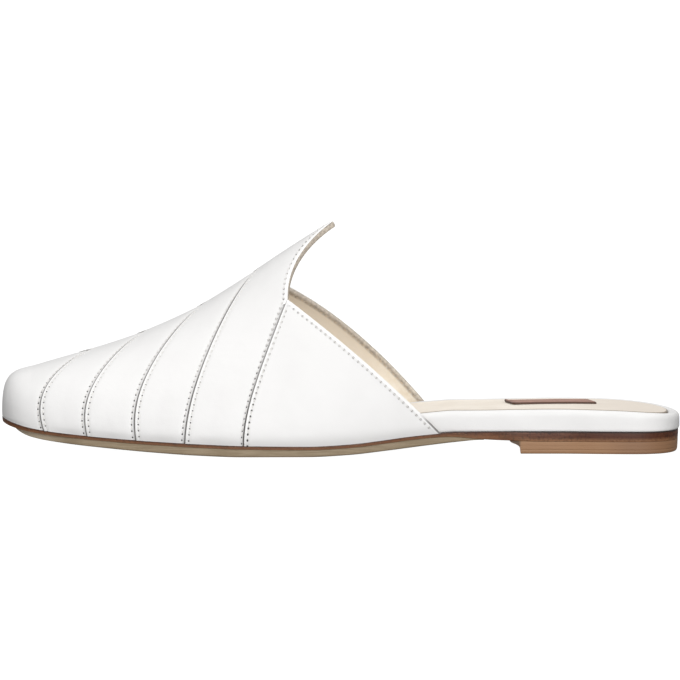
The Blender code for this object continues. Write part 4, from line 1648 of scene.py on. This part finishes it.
class Stitch:
    """One short stitch, modelled once and copied along the rows."""

    def __init__(self, length: float, width: float, height: float) -> None:
        """Shapes the stitch.

        Args:
            length: along the row, in millimetres.
            width: across it.
            height: straight out of the leather, over the whole thread.
        """
        bpy.ops.object.select_all(action="DESELECT")
        bpy.ops.mesh.primitive_uv_sphere_add(segments=6, ring_count=6, radius=0.5, calc_uvs=False)
        made = bpy.context.object
        bpy.ops.object.mode_set(mode="EDIT")
        bpy.ops.mesh.select_all(action="SELECT")
        bpy.ops.transform.rotate(value=math.pi / 2, orient_axis="Y", center_override=(0, 0, 0))
        bpy.ops.transform.resize(value=(length, width, height), center_override=(0, 0, 0))
        bpy.ops.object.mode_set(mode="OBJECT")
        self.length = length
        self.points = np.array([v.co for v in made.data.vertices])
        full = np.abs(self.points[:, 0]) * 2 / length
        self.points[:, 1:] *= (1 + 0.35 * full * (1 - full) * 4)[:, None]
        self.faces = [tuple(f.vertices) for f in made.data.polygons]
        bpy.data.objects.remove(made, do_unlink=True)

    def sew(self, bench: Workbench, name: str, centres: Array, along: Array, out: Array) -> bpy.types.Object:
        """One mesh with a stitch at each place.

        Args:
            bench: where it is laid.
            name: the piece's name.
            centres: middles of the stitches.
            along: directions of the rows.
            out: directions out of the leather.

        Returns:
            The new object.
        """
        along = unit(along - dot(along, out) * out)
        aside = np.cross(out, along)
        x, y, z = (self.points[None, :, k, None] for k in range(3))
        points = centres[:, None] + along[:, None] * x + aside[:, None] * y + out[:, None] * z
        count, size = points.shape[:2]
        faces = [tuple(v + k * size for v in face) for k in range(count) for face in self.faces]
        data = bpy.data.meshes.new(name)
        data.from_pydata(bench.placed(points.reshape(-1, 3)), [], faces)
        ply = np.zeros((count, size, 3))
        ply[..., 0] = self.points[:, 0]
        kept = data.attributes.new("ply", "FLOAT_VECTOR", "POINT")
        kept.data.foreach_set("vector", ply.ravel())
        data.shade_smooth()
        made = bpy.data.objects.new(name, data)
        bpy.context.scene.collection.objects.link(made)
        return made


@dataclass
class Sewing:
    """Gathers rows of stitches on the last, and sews them as one piece."""

    last: Last
    centres: list[Array] = field(default_factory=list)
    along: list[Array] = field(default_factory=list)
    out: list[Array] = field(default_factory=list)

    def row(self, line: Line, side: int, height: Course, margin: float = 1.6, inside: bool = False) -> None:
        """Adds a row of stitches beside a line.

        Args:
            line: the seam or edge that the row follows.
            side: 1 for the line's heel side, and -1 for its toe side.
            height: height of the stitches' middles off the last, for each turn.
            margin: bare length at each end of the line.
            inside: whether the row is seen from inside the shoe.
        """
        low, high = line.run[0] + margin, line.run[-1] - margin
        run = (np.arange(math.ceil(low / PITCH), math.floor(high / PITCH)) + 0.5) * PITCH
        turns = np.interp(run, line.run, line.turns)
        pace = np.interp(turns, line.turns, line.pace)
        across = side * np.interp(turns, line.turns, line.spread)
        stations = np.interp(turns, line.turns, line.stations) + across / pace
        points, normals = self.last.skin(stations, turns)
        lie = stack(*(np.interp(turns, line.turns, line.lie[:, k]) for k in range(3)))
        self.centres.append(points + normals * height(turns)[:, None])
        self.along.append(lie)
        self.out.append(-normals if inside else normals)

    def sew(self, bench: Workbench, name: str, stitch: Stitch) -> bpy.types.Object:
        """All rows as one mesh."""
        parts = (self.centres, self.along, self.out)
        return stitch.sew(bench, name, *(np.concatenate(part) for part in parts))


@dataclass
class Upper:
    """Lapped panels of white calf over a beige lining, and the rows of stitches that hold them."""

    last: Last
    bench: Workbench
    rows: int = 361
    crowding: float = 1.15
    crest: float = 0.08
    puff: float = 0.25
    pucker: float = 0.05
    bold: float = 0.5
    quarter_start: float = 0.006
    stitch_length: float = 1.45
    thread: float = 0.4
    vamp_row: float = -0.22
    edge_row: float = -0.05
    lining_row: float = -2.16

    def turns(self) -> Array:
        """Rows over the whole foot, closer together on the ridge."""
        even = np.linspace(-1, 1, self.rows)
        return np.sign(even) * np.abs(even) ** self.crowding

    def side_turns(self, side: int) -> Array:
        """Rows of one quarter, from the throat to the seat.

        Args:
            side: OUTER or INNER.

        Returns:
            Their turns in rising order.
        """
        start = self.last.throat[side] + self.quarter_start
        girths = start + (1 - start) * np.linspace(0, 1, self.rows // 2) ** self.crowding
        return np.sort(side * girths)

    def quarter_spread(self, turns: Array) -> Array:
        """Distance of the stitches beside the tongue and the quarter seam, less near the seat.

        Args:
            turns: turns round the foot.

        Returns:
            The distance at each turn.
        """
        girth, throat = self.last.girth_and_throat(turns)
        down = smoothstep(-0.15, 0.1, girth - throat)
        return EDGE_ROW - down * (0.15 + 0.65 * smoothstep(0.3, 0.8, girth))

    def lip_height(self, turns: Array) -> Array:
        """How proud a lip stands: less on the ridge than down the sides."""
        return self.crest + (1 - self.crest) * smoothstep(0.04, 0.5, np.abs(turns))

    def sink(self, turns: Array) -> Array:
        """How much deeper the thread is pulled into the leather on the ridge."""
        return 0.2 * (1 - smoothstep(0.03, 0.16, np.abs(turns)))

    def tongue_row(self, turns: Array) -> Array:
        """Height of the row beside the tongue, which is pulled in deeper below the throat."""
        girth, throat = self.last.girth_and_throat(turns)
        return -0.04 - 0.18 * smoothstep(0.0, 0.03, girth - throat)

    def lip_row(self, turns: Array) -> Array:
        """Height of the row of stitches on a lip."""
        return 0.36 * self.lip_height(turns) + 0.1

    def build(self) -> list[bpy.types.Object]:
        """Makes every panel, the lining and the stitches.

        Returns:
            The dressed pieces.
        """
        last, turns = self.last, self.turns()
        seams = [Line(last, turns, seam.at(np.abs(turns))) for seam in SEAMS]
        tongue = Line(last, turns, last.band_edge(turns), self.quarter_spread(turns), self.bold)
        pieces = [self.toe_panel(turns, seams[0])]
        names = ("vamp_band_1", "vamp_band_2", "vamp_band_3")
        for name, front, rear in zip(names, seams, seams[1:]):
            pieces.append(self.panel(name, turns, front, rear, np.ones_like(turns)))
        girth, throat = last.girth_and_throat(turns)
        below = smoothstep(0.0, 0.03, girth - throat)
        pieces.append(self.panel("tongue_band", turns, seams[3], tongue, below))
        for side, name in ((OUTER, "quarter_outer"), (INNER, "quarter_inner")):
            pieces.append(self.quarter(name, side))
        dressed = [dress(piece, Finish.PANEL, "white_leather", "upper") for piece in pieces]
        lining = dress(self.lining(turns), Finish.LINING, "cream_leather", "upper")
        return dressed + [lining] + self.stitches(seams, tongue)

    def rear_edge(self, turns: Array, tucked: Array) -> Profile:
        """A panel's rear edge at each row.

        Args:
            turns: the panel's rows.
            tucked: 1 where the edge runs under a lip, and 0 where it is free.

        Returns:
            The edge's cross-sections.
        """
        share = tucked[:, None, None]
        girth, throat = self.last.girth_and_throat(turns)
        lap = np.ones_like(turns) if tucked.min() else smoothstep(0.0, 0.12, girth - throat)
        face = FREE.face + (TUCKED.face - FREE.face) * share
        back = FREE.back + (TUCKED.back - FREE.back) * share
        for table in (face, back):
            table[..., 0] = np.where(table[..., 0] < 0, table[..., 0] * lap[:, None], table[..., 0])
        return Profile(face, back)

    def panel(
        self, name: str, turns: Array, front: Line, rear: Line, tucked: Array, fill: int = 14
    ) -> bpy.types.Object:
        """A panel between two lines, its front edge lapping over the panel before it.

        Args:
            name: the piece's name.
            turns: the panel's rows.
            front: the seam that its lip follows.
            rear: the line that its rear edge follows.
            tucked: 1 on the rows whose rear edge runs under a lip, and 0 where it is free.
            fill: columns between the two edges' cross-sections.

        Returns:
            The panel.
        """
        rear_edge = self.rear_edge(turns, tucked)
        room = (rear.stations - front.stations) * (front.pace + rear.pace) / 2
        need = LIP.face[-1, 0] + rear_edge.face[0, -1, 0]
        scale = np.minimum(1.0, 0.85 * np.abs(room) / need)[:, None]
        wide, narrow = scale * front.spread[:, None] / ROW, scale * rear.spread[:, None] / ROW
        crest = self.lip_height(turns)[:, None]
        grids = []
        for lip, edge, is_face in ((LIP.face, rear_edge.face, True), (LIP.back, rear_edge.back, False)):
            fore = front.stations[:, None] + wide * lip[None, :, 0] / front.pace[:, None]
            aft = (rear.stations[:, None] - narrow * edge[..., 0] / rear.pace[:, None])[:, ::-1]
            share = np.linspace(0, 1, fill + 2)[None, 1:-1]
            middle = fore[:, -1:] + (aft[:, :1] - fore[:, -1:]) * share
            rise = lip[None, :, 1] * (scale * crest if is_face else 1.0) + 0 * fore
            fall = (edge[..., 1] * (scale if is_face else 1.0))[:, ::-1]
            level = np.full(middle.shape, 0.0 if is_face else FLESH)
            heights = np.concatenate([rise, level, fall], 1)
            grids.append((np.concatenate([fore, middle, aft], 1), heights))
        return self.leather(name, turns, grids[0], grids[1], front, rear, tucked)

    def leather(
        self,
        name: str,
        turns: Array,
        face: tuple[Array, Array],
        back: tuple[Array, Array],
        front: Line | None,
        rear: Line,
        tucked: Array,
    ) -> bpy.types.Object:
        """Lays a panel from its stations and heights.

        Args:
            name: the piece's name.
            turns: its rows.
            face: stations and heights of the side that shows.
            back: stations and heights of the flesh side.
            front: the seam before it, if it has one.
            rear: the seam or edge behind it.
            tucked: 1 on the rows whose rear edge runs under a lip, and 0 where it is free.

        Returns:
            The panel.
        """
        far_off = 99.0
        stations, heights = face
        grid = turns[:, None] + np.zeros_like(stations)
        points, normals = self.last.skin(stations, grid)
        far = stack(np.full(stations.shape, far_off), 0.0, 0.0)
        fore = front.measure(points, stations) if front else far
        aft = rear.measure(points, stations)
        start = front.stations[:, None] if front else self.last.fan_start
        share = np.clip((stations - start) / (rear.stations[:, None] - start), 0.0, 1.0)
        swell = self.puff * (0.3 + 0.7 * smoothstep(0.0, 0.35, np.abs(grid)))
        heights = heights + swell * np.sin(math.pi * share) ** 2 * smoothstep(0.0, 0.05, 1 - np.abs(grid))
        for mark in (fore, aft):
            near = np.exp(-(((mark[..., 0] - 1.0) / 0.35) ** 2))
            heights = heights - self.pucker * near * np.cos(2 * math.pi * mark[..., 1] / PITCH)
        if front:
            fore[..., 2] = front.shown[:, None]
        aft[..., 2] = ((2 * tucked - 1) * rear.shown)[:, None]
        rise = points[..., 2] - self.last.seat(points[..., 0])
        face_points = self.seated(points + normals * heights[..., None], grid)
        back_points, back_normals = self.last.skin(back[0], grid)
        back_points = self.seated(back_points + back_normals * back[1][..., None], grid)
        marks = {"fore": fore, "aft": aft, "seat": stack(rise, 0.0, 0.0)}
        return self.bench.shell(name, face_points, back_points, marks)

    def seated(self, points: Array, turns: Array) -> Array:
        """Sets the bottom rows of a grid down on the midsole.

        Args:
            points: the grid.
            turns: the turn of each point.

        Returns:
            The grid.
        """
        at_seat = np.abs(turns) >= 1.0
        points[..., 2] = np.where(at_seat, self.last.seat(points[..., 0]) + HAIR, points[..., 2])
        return points

    def toe_panel(self, turns: Array, seam: Line, fill: int = 64) -> bpy.types.Object:
        """The plain toe, whose rows all start at the tip of the seat.

        Args:
            turns: its rows.
            seam: the seam behind it.
            fill: columns before the edge's cross-section.

        Returns:
            The panel.
        """
        tucked = np.ones_like(turns)
        edge = self.rear_edge(turns, tucked)
        start = self.last.fan_start
        face = self.columns(start, seam, edge.face, 0.0, fill)
        back = self.columns(start, seam, edge.back, FLESH, fill)
        return self.leather("toe_panel", turns, face, back, None, seam, tucked)

    def columns(self, start: float, rear: Line, edge: Array, height: float, fill: int) -> tuple[Array, Array]:
        """Stations and heights of one side of a sheet that has no lip in front.

        Args:
            start: the station of its front.
            rear: the line that its rear edge follows.
            edge: that edge's cross-section.
            height: the sheet's height before the edge.
            fill: columns before the edge.

        Returns:
            The stations and the heights, by row and column.
        """
        aft = (rear.stations[:, None] - edge[..., 0] / rear.pace[:, None])[:, ::-1]
        share = np.linspace(0, 1, fill + 1)[None, :-1]
        middle = start + (aft[:, :1] - start) * share
        heights = np.concatenate([np.full(middle.shape, height), edge[..., ::-1, 1] + 0 * aft], 1)
        return np.concatenate([middle, aft], 1), heights

    def quarter(self, name: str, side: int) -> bpy.types.Object:
        """One side's rear panel, from its lip over the last band to its turned top edge.

        Args:
            name: the piece's name.
            side: OUTER or INNER.

        Returns:
            The panel.
        """
        turns = self.side_turns(side)
        front = Line(self.last, turns, self.last.band_edge(turns), ROW, self.bold)
        rear = Line(self.last, turns, self.last.topline(side, np.abs(turns)), EDGE_ROW, self.bold)
        return self.panel(name, turns, front, rear, np.zeros_like(turns), fill=40)

    def lining(self, turns: Array, fill: int = 60) -> bpy.types.Object:
        """The lining of the whole upper, its cut edge just inside the turned edges.

        Args:
            turns: its rows.
            fill: columns before the edge's cross-section.

        Returns:
            The lining.
        """
        toe_gap = 2.0
        start = self.last.fan_start + toe_gap
        rear = Line(self.last, turns, self.last.rim(turns), EDGE_ROW)
        laid, marks = [], None
        # The side towards the foot is the one that shows. It is laid last, and its marks are kept.
        for edge in (CUT.face, CUT.back):
            stations, heights = self.columns(start, rear, edge, edge[-1, 1], fill)
            grid = turns[:, None] + np.zeros_like(stations)
            points, normals = self.last.skin(stations, grid)
            marks = rear.measure(points, stations)
            laid.append(self.seated(points + normals * heights[..., None], grid))
        return self.bench.shell("lining", laid[0], laid[1], {"aft": marks})

    def stitches(self, seams: list[Line], tongue: Line) -> list[bpy.types.Object]:
        """The rows on both sides of each seam and along each free edge.

        Args:
            seams: the seams over the vamp.
            tongue: the rear edge of the last band.

        Returns:
            The white stitches and the lining's.
        """
        last = self.last
        stitch = Stitch(self.stitch_length, self.thread, self.thread)
        white, beige = Sewing(last), Sewing(last)
        for seam in seams:
            white.row(seam, 1, lambda turns: self.lip_row(turns) - self.sink(turns))
            white.row(seam, -1, lambda turns: self.vamp_row - self.sink(turns))
        white.row(tongue, -1, self.tongue_row)
        for side in (OUTER, INNER):
            turns = self.side_turns(side)
            front = Line(last, turns, last.band_edge(turns))
            top = Line(last, turns, last.topline(side, np.abs(turns)), EDGE_ROW)
            white.row(front, 1, self.lip_row, margin=3.0)
            white.row(top, -1, steady(self.edge_row), margin=0.6)
            beige.row(top, -1, steady(self.lining_row), margin=2.0, inside=True)
        beige.row(tongue_only(last, tongue), -1, steady(self.lining_row), inside=True)
        sewn = white.sew(self.bench, "seam_stitches", stitch)
        lined = beige.sew(self.bench, "lining_stitches", stitch)
        return [
            dress(sewn, Finish.WHITE_THREAD, "white_leather"),
            dress(lined, Finish.BEIGE_THREAD, "cream_leather"),
        ]


def tongue_only(last: Last, line: Line) -> Line:
    """The stretch of a line that lies above the throat.

    Args:
        last: the form that it is drawn on.
        line: the line.

    Returns:
        The stretch as a line of its own.
    """
    girth, throat = last.girth_and_throat(line.turns)
    kept = girth < throat
    return Line(last, line.turns[kept], line.stations[kept], EDGE_ROW)


# ---------------------------------------------------------------- under the foot


@dataclass
class Insole:
    """White leather wrapped round the footbed, the cream sock set into it, and the bare patch."""

    last: Last
    bench: Workbench
    slit: float = 0.14
    patch_x: float = 81.0
    patch_y: float = 5.0
    patch_length: float = 32.5
    patch_width: float = 14.0
    patch_yaw: float = math.radians(-3.0)
    patch_skew: float = 0.2
    patch_wall: float = 0.7
    patch_corner: float = 1.5
    patch_rounding: float = 0.35
    patch_border: float = 1.7
    patch_tool: float = 0.28
    patch_groove: float = 0.16
    patch_lift: float = 0.6
    patch_curl: float = 0.05
    patch_sag: float = 0.15
    patch_gap: float = 0.03

    def build(self) -> list[bpy.types.Object]:
        """Makes the footbed, the sock and the patch.

        Returns:
            The dressed pieces.
        """
        footbed = dress(self.footbed(), Finish.WRAP, "white_leather", "footbed")
        sock = dress(self.sock(), Finish.SOCK, "cream_leather", "sock")
        patch = dress(self.patch(), Finish.PATCH, "tan_leather", "label_patch")
        return [footbed, sock, patch]

    def drawn(self, extra: float) -> Course:
        """The footbed's edge, drawn in by a little more."""
        return lambda x: self.last.tuck(x) + extra

    def below(self, drop: float) -> Course:
        """Under the rim's top."""
        return lambda x: self.last.rim_top(x) - drop

    def above(self, rise: float) -> Course:
        """Over the seat."""
        return lambda x: self.last.seat(x) + rise

    def footbed(self) -> bpy.types.Object:
        """The padded footbed: a rounded rim round a shallow bed.

        Returns:
            The footbed.
        """
        layer = Layer(self.last, Span(TOE_X, RIM_HEEL_X))
        foot = [(0.75, 0.02), (0.4, 0.06), (0.16, 0.25), (0.03, 0.6), (0.0, 1.1)]
        side = [(0.0, 3.2), (0.0, 2.6), (0.03, 2.05), (0.12, 1.5), (0.3, 0.98), (0.58, 0.55), (0.98, 0.23)]
        top = [(1.4, 0.06), (1.8, 0.0), (2.3, 0.05), (2.9, 0.17), (3.5, 0.32), (4.05, 0.5), (4.4, 0.85)]
        wall = [(4.55, 1.4), (4.6, 2.0), (4.75, 2.12)]
        rings = [layer.ring(self.drawn(inset), self.above(rise)) for inset, rise in foot]
        rings += [layer.ring(self.drawn(inset), self.below(drop)) for inset, drop in side + top + wall]
        return layer.loft(self.bench, "wrapped_footbed", rings, steady(0.0), self.last.footbed_crown)

    def sock(self) -> bpy.types.Object:
        """The sock leather, with a soft edge just inside the rim.

        Returns:
            The sock.
        """
        layer = Layer(self.last, Span(TOE_X, RIM_HEEL_X))
        start = RIM_LIP + self.slit
        wall = [(0.0, 2.04), (0.0, 1.0), (0.0, 0.5), (0.0, 0.28)]
        top = [(0.06, 0.16), (0.2, 0.09), (0.5, 0.06), (1.9, 0.06)]
        rings = [layer.ring(self.drawn(start + inset), self.below(drop)) for inset, drop in wall + top]
        crown = self.last.footbed_crown
        return layer.loft(self.bench, "sock_leather", rings, crown, crown, fill=24)

    def patch(self, steps_x: int = 88, steps_y: int = 64) -> bpy.types.Object:
        """A bare leather patch with rounded corners and a tooled border, one corner lifting.

        Args:
            steps_x: steps along it.
            steps_y: steps across it.

        Returns:
            The patch.
        """
        half_x, half_y = self.patch_length / 2, self.patch_width / 2
        bend = self.patch_corner
        even_x, even_y = np.linspace(-1, 1, steps_x + 1), np.linspace(-1, 1, steps_y + 1)
        across, along = np.meshgrid(even_y * half_y, even_x * half_x)
        round_x = np.clip((np.abs(along) - half_x) / bend + 1, 0, 1)
        round_y = np.clip((np.abs(across) - half_y) / bend + 1, 0, 1)
        along = along - np.sign(along) * round_x * (1 - np.sqrt(1 - round_y**2 / 2)) * bend
        across = across - np.sign(across) * round_y * (1 - np.sqrt(1 - round_x**2 / 2)) * bend
        cut_x, cut_y = half_x - np.abs(along), half_y - np.abs(across)
        turned = bend - np.hypot(np.clip(bend - cut_x, 0, None), np.clip(bend - cut_y, 0, None))
        at_corner = (cut_x < bend) & (cut_y < bend)
        from_rim = np.maximum(np.where(at_corner, turned, np.minimum(cut_x, cut_y)), 0.0)
        short = np.clip(self.patch_rounding - from_rim, 0, None)
        worn = self.patch_rounding - np.sqrt(self.patch_rounding**2 - short**2)
        tooled = np.exp(-(((from_rim - self.patch_border) / self.patch_tool) ** 2))
        corner = smoothstep(0.9, 1.0, (-along / half_x + 0.35 * across / half_y) / 1.35)
        lifted = corner * self.patch_lift + self.patch_curl * (along / half_x) ** 2
        lifted += self.patch_sag * np.clip(-along / half_x, 0, None) ** 2
        along = along - self.patch_skew * across
        turn = np.array([math.cos(self.patch_yaw), math.sin(self.patch_yaw)])
        x = self.patch_x + along * turn[0] + across * turn[1]
        y = self.patch_y - along * turn[1] + across * turn[0]
        floor = self.last.sock_top(x, y) + self.patch_gap + lifted
        face = stack(x, y, floor + self.patch_wall - worn - self.patch_groove * tooled)
        back = stack(x, y, floor)
        marks = stack(from_rim, 0.0, tooled)
        return self.bench.shell("patch_leather", face, back, {"rim": marks})


class BlockLevel(NamedTuple):
    """One level of the heel block: its height, where its breast stands, and its inset."""

    z: float
    breast: float
    inset: float


@dataclass
class Bottom:
    """Everything under the upper: midsole, outsole and the low stacked heel."""

    last: Last
    bench: Workbench
    block_steps: int = 160

    def build(self) -> list[bpy.types.Object]:
        """Makes the midsole, the outsole and the heel.

        Returns:
            The dressed pieces.
        """
        return [
            dress(self.midsole(), Finish.MIDSOLE, "brown_leather", "midsole"),
            dress(self.outsole(), Finish.OUTSOLE, "khaki_leather", "outsole"),
            dress(self.heel(), Finish.HEEL, "stacked_leather", "heel_block"),
        ]

    def under_midsole(self, x: Array) -> Array:
        """Height of the midsole's underside."""
        return self.last.seat(x) - self.last.midsole(x)

    def in_midsole(self, share: float) -> Course:
        """A height between the midsole's underside (0) and its top (1)."""
        return lambda x: self.under_midsole(x) + self.last.midsole(x) * share

    def in_outsole(self, share: float) -> Course:
        """A height between the tread (0) and just below the midsole (1)."""
        return lambda x: self.last.tread(x) * (1 - share) + (self.under_midsole(x) - HAIR) * share

    def in_block(self, z: float) -> Course:
        """A height off the floor that stays below the midsole."""
        return lambda x: np.minimum(z, self.under_midsole(x) - HAIR)

    def midsole(self) -> bpy.types.Object:
        """The thin brown midsole, thicker towards the heel.

        Returns:
            The midsole.
        """
        layer = Layer(self.last, Span(TOE_X, HEEL_X))
        steps = [
            (0.4, 0.0), (0.24, 0.01), (0.16, 0.03), (0.12, 0.15), (0.06, 0.32), (0.0, 0.55),
            (0.0, 0.78), (0.03, 0.9), (0.1, 0.97), (0.3, 1.0),
        ]
        rings = [layer.ring(steady(inset), self.in_midsole(share)) for inset, share in steps]
        return layer.loft(self.bench, "midsole_edge", rings, steady(0.0), steady(0.0))

    def outsole(self) -> bpy.types.Object:
        """The khaki outsole, which feathers out under the waist.

        Returns:
            The outsole.
        """
        layer = Layer(self.last, Span(OUTSOLE_TOE_X, OUTSOLE_END_X, round_heel=False))
        steps = [
            (1.3, 0.0), (0.9, 0.015), (0.6, 0.07), (0.45, 0.16), (0.4, 0.3), (0.4, 0.5),
            (0.4, 0.7), (0.4, 0.85), (0.42, 0.94), (0.5, 0.985),
        ]
        rings = [layer.ring(steady(inset), self.in_outsole(share)) for inset, share in steps]
        for ring in rings:
            ring[:, 0] = np.minimum(ring[:, 0], OUTSOLE_END_X)
        return layer.loft(self.bench, "outsole_leather", rings, steady(0.0), steady(0.0))

    def heel(self) -> bpy.types.Object:
        """The heel block, whose breast sweeps forward in a small fillet under the midsole.

        Returns:
            The heel.
        """
        top = float(self.under_midsole(np.array(BREAST_X)))
        levels = (
            BlockLevel(0.0, BREAST_X + 0.3, 0.95),
            BlockLevel(0.08, BREAST_X + 0.12, 0.7),
            BlockLevel(0.3, BREAST_X + 0.02, 0.5),
            BlockLevel(0.7, BREAST_X, 0.38),
            BlockLevel(1.5, BREAST_X, 0.28),
            BlockLevel(1.56, BREAST_X + 0.03, 0.31),
            BlockLevel(1.62, BREAST_X, 0.27),
            BlockLevel(2.2, BREAST_X, 0.24),
            BlockLevel(2.75, BREAST_X - 0.25, 0.22),
            BlockLevel(3.1, BREAST_X - 0.55, 0.2),
            BlockLevel(3.5, BREAST_X - 1.15, 0.17),
            BlockLevel(3.9, BREAST_X - 2.05, 0.15),
            BlockLevel(4.3, BREAST_X - 3.1, 0.15),
            BlockLevel(top - HAIR, BREAST_X - 3.9, 0.15),
        )
        spans = [Span(step.breast, BLOCK_HEEL_X, round_toe=False) for step in levels]
        layers = [Layer(self.last, span, self.block_steps) for span in spans]
        rings = [
            layer.ring(steady(step.inset), self.in_block(step.z), front=step.breast)
            for layer, step in zip(layers, levels)
        ]
        return layers[-1].loft(self.bench, "heel_stack", rings, steady(0.0), steady(0.0))


# ---------------------------------------------------------------- studio


class Lamp(NamedTuple):
    """A square soft lamp that faces the shoe: where it hangs, its size and its power."""

    name: str
    place: tuple[float, float, float]
    size: float
    power: float


LAMPS = (
    Lamp("key", (-0.5, -1.6, 1.5), 1.4, 1.6),
    Lamp("fill", (1.1, -1.3, 1.2), 0.9, 1.0),
    Lamp("low", (0.3, -2.6, 0.35), 1.3, 27.0),
)
WHITE: Tone = (1.0, 1.0, 1.0, 1.0)


@dataclass
class Studio:
    """A plain white floor, soft light and the camera."""

    aim: Vector = field(default_factory=lambda: Vector((-0.00028, 0.0019, 0.0415)))
    distance: float = 9.0
    lift: float = math.radians(4.8)
    lens: float = 1239.0
    sensor: float = 36.0
    even: float = 0.65
    above: float = 0.66
    front: float = 0.24
    ends: float = 0.44
    horizon: float = -0.3
    floor_size: float = 14.0
    floor_grey: float = 0.1

    def build(self) -> None:
        """Sets up everything that isn't part of the shoe."""
        self.set_camera()
        self.set_sky()
        self.set_lamps()
        self.set_floor()

    def set_camera(self) -> None:
        """A long lens from the outer side, a little above the floor."""
        data = bpy.data.cameras.new("camera")
        data.lens = self.lens
        data.sensor_width = self.sensor
        camera = bpy.data.objects.new("camera", data)
        back = Vector((0.0, -math.cos(self.lift), math.sin(self.lift)))
        camera.location = self.aim + back * self.distance
        camera.rotation_euler = (-back).to_track_quat("-Z", "Y").to_euler()
        bpy.context.scene.collection.objects.link(camera)
        bpy.context.scene.camera = camera

    def set_sky(self) -> None:
        """Soft white light, strongest from above and in front, weakest past the shoe's ends."""
        world = bpy.data.worlds.new("sky")
        world.use_nodes = True
        sky = Recipe.over(world.node_tree)
        toward_heel, away, up = sky.parts(sky.node("ShaderNodeTexCoord", output="Generated"))
        lit = self.even + up.most(self.horizon) * self.above
        strength = lit - away * self.front - abs(toward_heel) * self.ends
        background = sky.node("ShaderNodeBackground", sockets={"Color": WHITE, "Strength": strength})
        output = sky.tree.nodes.new("ShaderNodeOutputWorld")
        sky.tree.links.new(background.socket, output.inputs["Surface"])
        bpy.context.scene.world = world
        bpy.context.scene.view_settings.view_transform = "Standard"

    def set_lamps(self) -> None:
        """A large lamp in front and above, a smaller one from the heel's side, and one low in front."""
        for lamp in LAMPS:
            data = bpy.data.lights.new(lamp.name, "AREA")
            data.shape = "SQUARE"
            data.size = lamp.size
            data.energy = lamp.power
            made = bpy.data.objects.new(lamp.name, data)
            made.location = lamp.place
            made.rotation_euler = (self.aim - Vector(lamp.place)).to_track_quat("-Z", "Y").to_euler()
            bpy.context.scene.collection.objects.link(made)

    def set_floor(self) -> None:
        """A wide matt floor."""
        bpy.ops.object.select_all(action="DESELECT")
        bpy.ops.mesh.primitive_plane_add(size=self.floor_size)
        floor = bpy.context.object
        floor.name = "floor"
        grey = (self.floor_grey, self.floor_grey, self.floor_grey, 1.0)
        glow = {"Emission_Color": WHITE, "Emission_Strength": 1.0}
        material = Recipe("floor_white").finish(Base_Color=grey, Roughness=0.9, **glow)
        floor.data.materials.append(material)
        floor.visible_diffuse = floor.visible_glossy = False


def main() -> None:
    """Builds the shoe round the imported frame, then the studio."""
    logging.basicConfig(level=logging.INFO, format="%(name)s %(message)s")
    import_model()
    low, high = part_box("midsole")
    last = Last()
    outline = last.plan_side(OUTER, Span(TOE_X, HEEL_X), 2000)
    shift = Vector((high.x - HEEL_X * MM, low.y - float(outline[:, 1].min()) * MM, 0.0))
    LOG.info("shift %s", tuple(shift))
    bench = Workbench(shift)
    pieces = Upper(last, bench).build() + Insole(last, bench).build() + Bottom(last, bench).build()
    LOG.info("%d pieces, %d faces", len(pieces), sum(len(p.data.polygons) for p in pieces))
    Studio().build()


if __name__ == "__main__":
    main()
